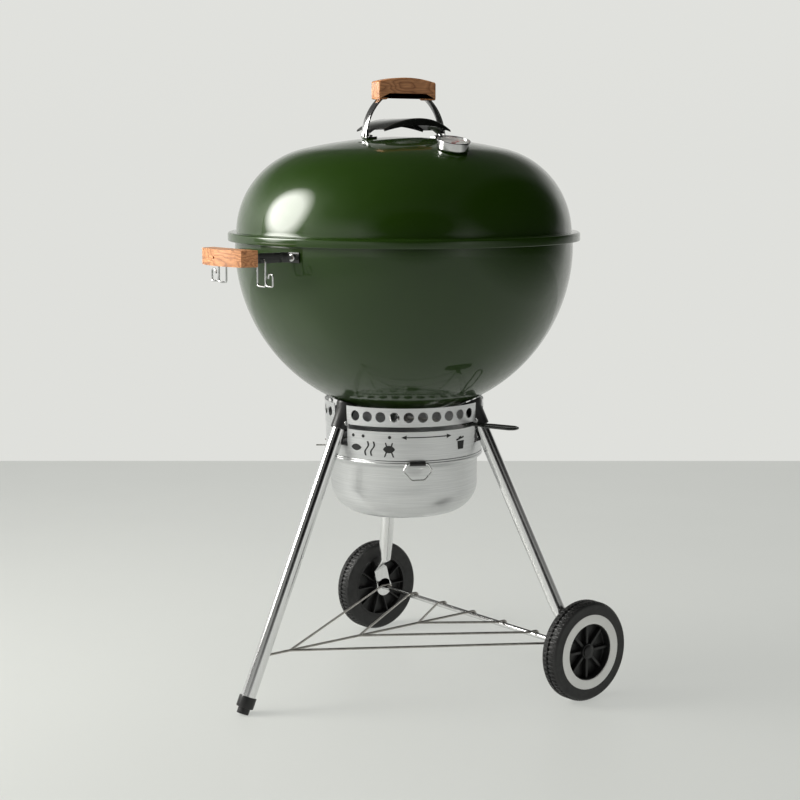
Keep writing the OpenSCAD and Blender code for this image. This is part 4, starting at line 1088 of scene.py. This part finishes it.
def sheet(name, centre, right, up, width, height, look):
    """A flat rectangle of the studio, given by its middle and two directions."""
    centre, right, up = Vector(centre), Vector(right), Vector(up)
    signs = ((-1, -1), (1, -1), (1, 1), (-1, 1))
    corners = [centre + right * (i * width / 2) + up * (j * height / 2) for i, j in signs]
    mesh = bpy.data.meshes.new(name)
    mesh.from_pydata(corners, [], [(0, 1, 2, 3)])
    obj = bpy.data.objects.new(name, mesh)
    bpy.context.scene.collection.objects.link(obj)
    mesh.materials.append(look)
    return obj


def lamp(name, at, target, size, power, color=(1, 1, 1), height=None, shape="RECTANGLE"):
    data = bpy.data.lights.new(name, "AREA")
    data.shape = shape
    data.size = size
    data.size_y = height or size
    data.energy = power
    data.color = color
    obj = bpy.data.objects.new(name, data)
    obj.location = at
    obj.rotation_euler = (Vector(target) - Vector(at)).to_track_quat("-Z", "Y").to_euler()
    obj.visible_camera = False
    bpy.context.scene.collection.objects.link(obj)
    return obj


def world():
    """Pale walls all round, dimmer towards the ceiling."""
    scene_world = bpy.data.worlds.new("studio")
    bpy.context.scene.world = scene_world
    scene_world.use_nodes = True
    tree = scene_world.node_tree
    tree.nodes.clear()
    place = tree.nodes.new("ShaderNodeTexCoord")
    split = tree.nodes.new("ShaderNodeSeparateXYZ")
    ramp = tree.nodes.new("ShaderNodeValToRGB")
    glow = tree.nodes.new("ShaderNodeBackground")
    out = tree.nodes.new("ShaderNodeOutputWorld")
    tree.links.new(place.outputs["Generated"], split.inputs[0])
    tree.links.new(split.outputs[2], ramp.inputs[0])
    stops = ((0.0, (0.74, 0.745, 0.715)), (0.17, (0.76, 0.765, 0.735)), (0.44, (0.10, 0.10, 0.095)),
             (0.85, (0.05, 0.05, 0.05)))
    elements = ramp.color_ramp.elements
    while len(elements) < len(stops):
        elements.new(0.5)
    for element, (at, color) in zip(elements, stops):
        element.position = at
        element.color = (*color, 1)
    tree.links.new(ramp.outputs[0], glow.inputs[0])
    tree.links.new(glow.outputs[0], out.inputs[0])


def softbox(name, at, target, width, height, strength, color=(1, 1, 1)):
    """A glowing panel that is brightest in its middle and fades to its edges. The camera doesn't see it.

    A strength of zero makes it a dark card instead, see-through at its edges.
    """
    look = Look(name)
    node = look.tree.nodes.new("ShaderNodeTexGradient")
    node.gradient_type = "SPHERICAL"
    look.link(look.stretch(2, 2, 2), node.inputs[0])
    glow = look.ramp(node.outputs[1], (0.0, 0.0), (0.16, 0.35), (0.42, 1.0))
    tint = look.ramp(glow, (0.0, color), (1.0, color))
    look.set("Emission Color", look.mix("MULTIPLY", 1.0, glow, tint))
    look.shader.inputs["Emission Strength"].default_value = strength
    look.shader.inputs["Base Color"].default_value = (0, 0, 0, 1)
    look.shader.inputs["Specular IOR Level"].default_value = 0
    if not strength:
        look.set("Alpha", look.ramp(node.outputs[1], (0.0, 0.0), (0.45, 1.0)))
    mesh = bpy.data.meshes.new(name)
    corners = [(-0.5, -0.5, 0), (0.5, -0.5, 0), (0.5, 0.5, 0), (-0.5, 0.5, 0)]
    mesh.from_pydata(corners, [], [(0, 1, 2, 3)])
    obj = bpy.data.objects.new(name, mesh)
    mesh.materials.append(look.material)
    obj.rotation_euler = (Vector(target) - Vector(at)).to_track_quat("-Z", "Y").to_euler()
    obj.location = at
    obj.scale = (width, height, 1)
    bpy.context.scene.collection.objects.link(obj)
    obj.visible_camera = False
    return obj


def studio():
    floor = flat_look("studio_floor", (0.18, 0.184, 0.175), 0.5, 2.4)
    depth = 14
    sheet("floor", AWAY * (WALL_BEHIND - depth / 2), RIGHT, AWAY, 16, depth, floor)
    # dark cards on the right and in front, which only the object's reflections show
    flag_at = RIGHT * 0.95 - AWAY * 0.1 + Vector((0, 0, 1.25))
    front_at = RIGHT * 0.5 - AWAY * 3.6 + Vector((0, 0, 1.9))
    flag = softbox("black_flag", flag_at, (0, 0, 1.25), 2.6, 1.9, 0)
    front = softbox("dark_front", front_at, (0, 0, 1.9), 5.6, 3.6, 0)
    for obj in (flag, front):
        obj.visible_diffuse = False
        obj.visible_shadow = False
    key_at = -RIGHT * 1.75 - AWAY * 0.12 + Vector((0, 0, 1.42))
    top_at = -RIGHT * 0.5 + AWAY * 0.2 + Vector((0, 0, 3.4))
    fill_at = -RIGHT * 2.0 - AWAY * 1.9 + Vector((0, 0, 1.6))
    softbox("softbox_left", key_at, (0, 0, 0.80), 1.35, 1.7, 16, (1, 0.99, 0.95))
    top = lamp("top_light", top_at, (0, 0, 0), 2.6, 40, (1, 0.995, 0.97))
    fill = lamp("front_fill", fill_at, (0, 0, 0.9), 1.4, 30, (1, 0.98, 0.95))
    for light in (top, fill):
        light.visible_glossy = False


def make_all():
    carried_over()
    bowl()
    lid()
    lid_strap()
    lid_grip()
    heat_shield()
    lid_bolts()
    thermometer()
    lid_damper()
    side_strap(HOOKS_SIDE, "strap_hooks_side", "side_strap_hooks")
    side_strap(PLAIN_SIDE, "strap_plain_side", "side_strap_plain")
    side_grip(HOOKS_SIDE, "wood_grip_hooks_side", "side_grip_hooks")
    side_grip(PLAIN_SIDE, "wood_grip_plain_side", "side_grip_plain")
    side_bolts()
    tool_hooks()
    leg_plain()
    wheel_leg(1, "leg_tube_left", "leg_left")
    wheel_leg(-1, "leg_tube_right", "leg_right")
    for which, (angle, lean) in LEGS.items():
        leg_socket(angle, lean, "socket_" + which, "leg_socket_" + which)
    socket_screws()
    foot()
    axle_rod()
    wire_rack()
    for side, word in ((1, "left"), (-1, "right")):
        body = "wheel_" + word
        tyre(side, "tyre_tread_" + word, "tyre_" + word, body)
        white_ring(side, "white_ring_" + word, "wheel_ring_" + word, body)
        wheel_hub(side, "hub_moulded_" + word, "wheel_hub_" + word, body)
        wheel_cap(side, "cap_domed_" + word, "wheel_cap_" + word, body)
    ash_bucket()
    bucket_bail()
    lever_handle()
    grates()


make_all()
camera()
world()
studio()
bpy.context.scene.view_settings.view_transform = "Standard"
bpy.context.view_layer.update()
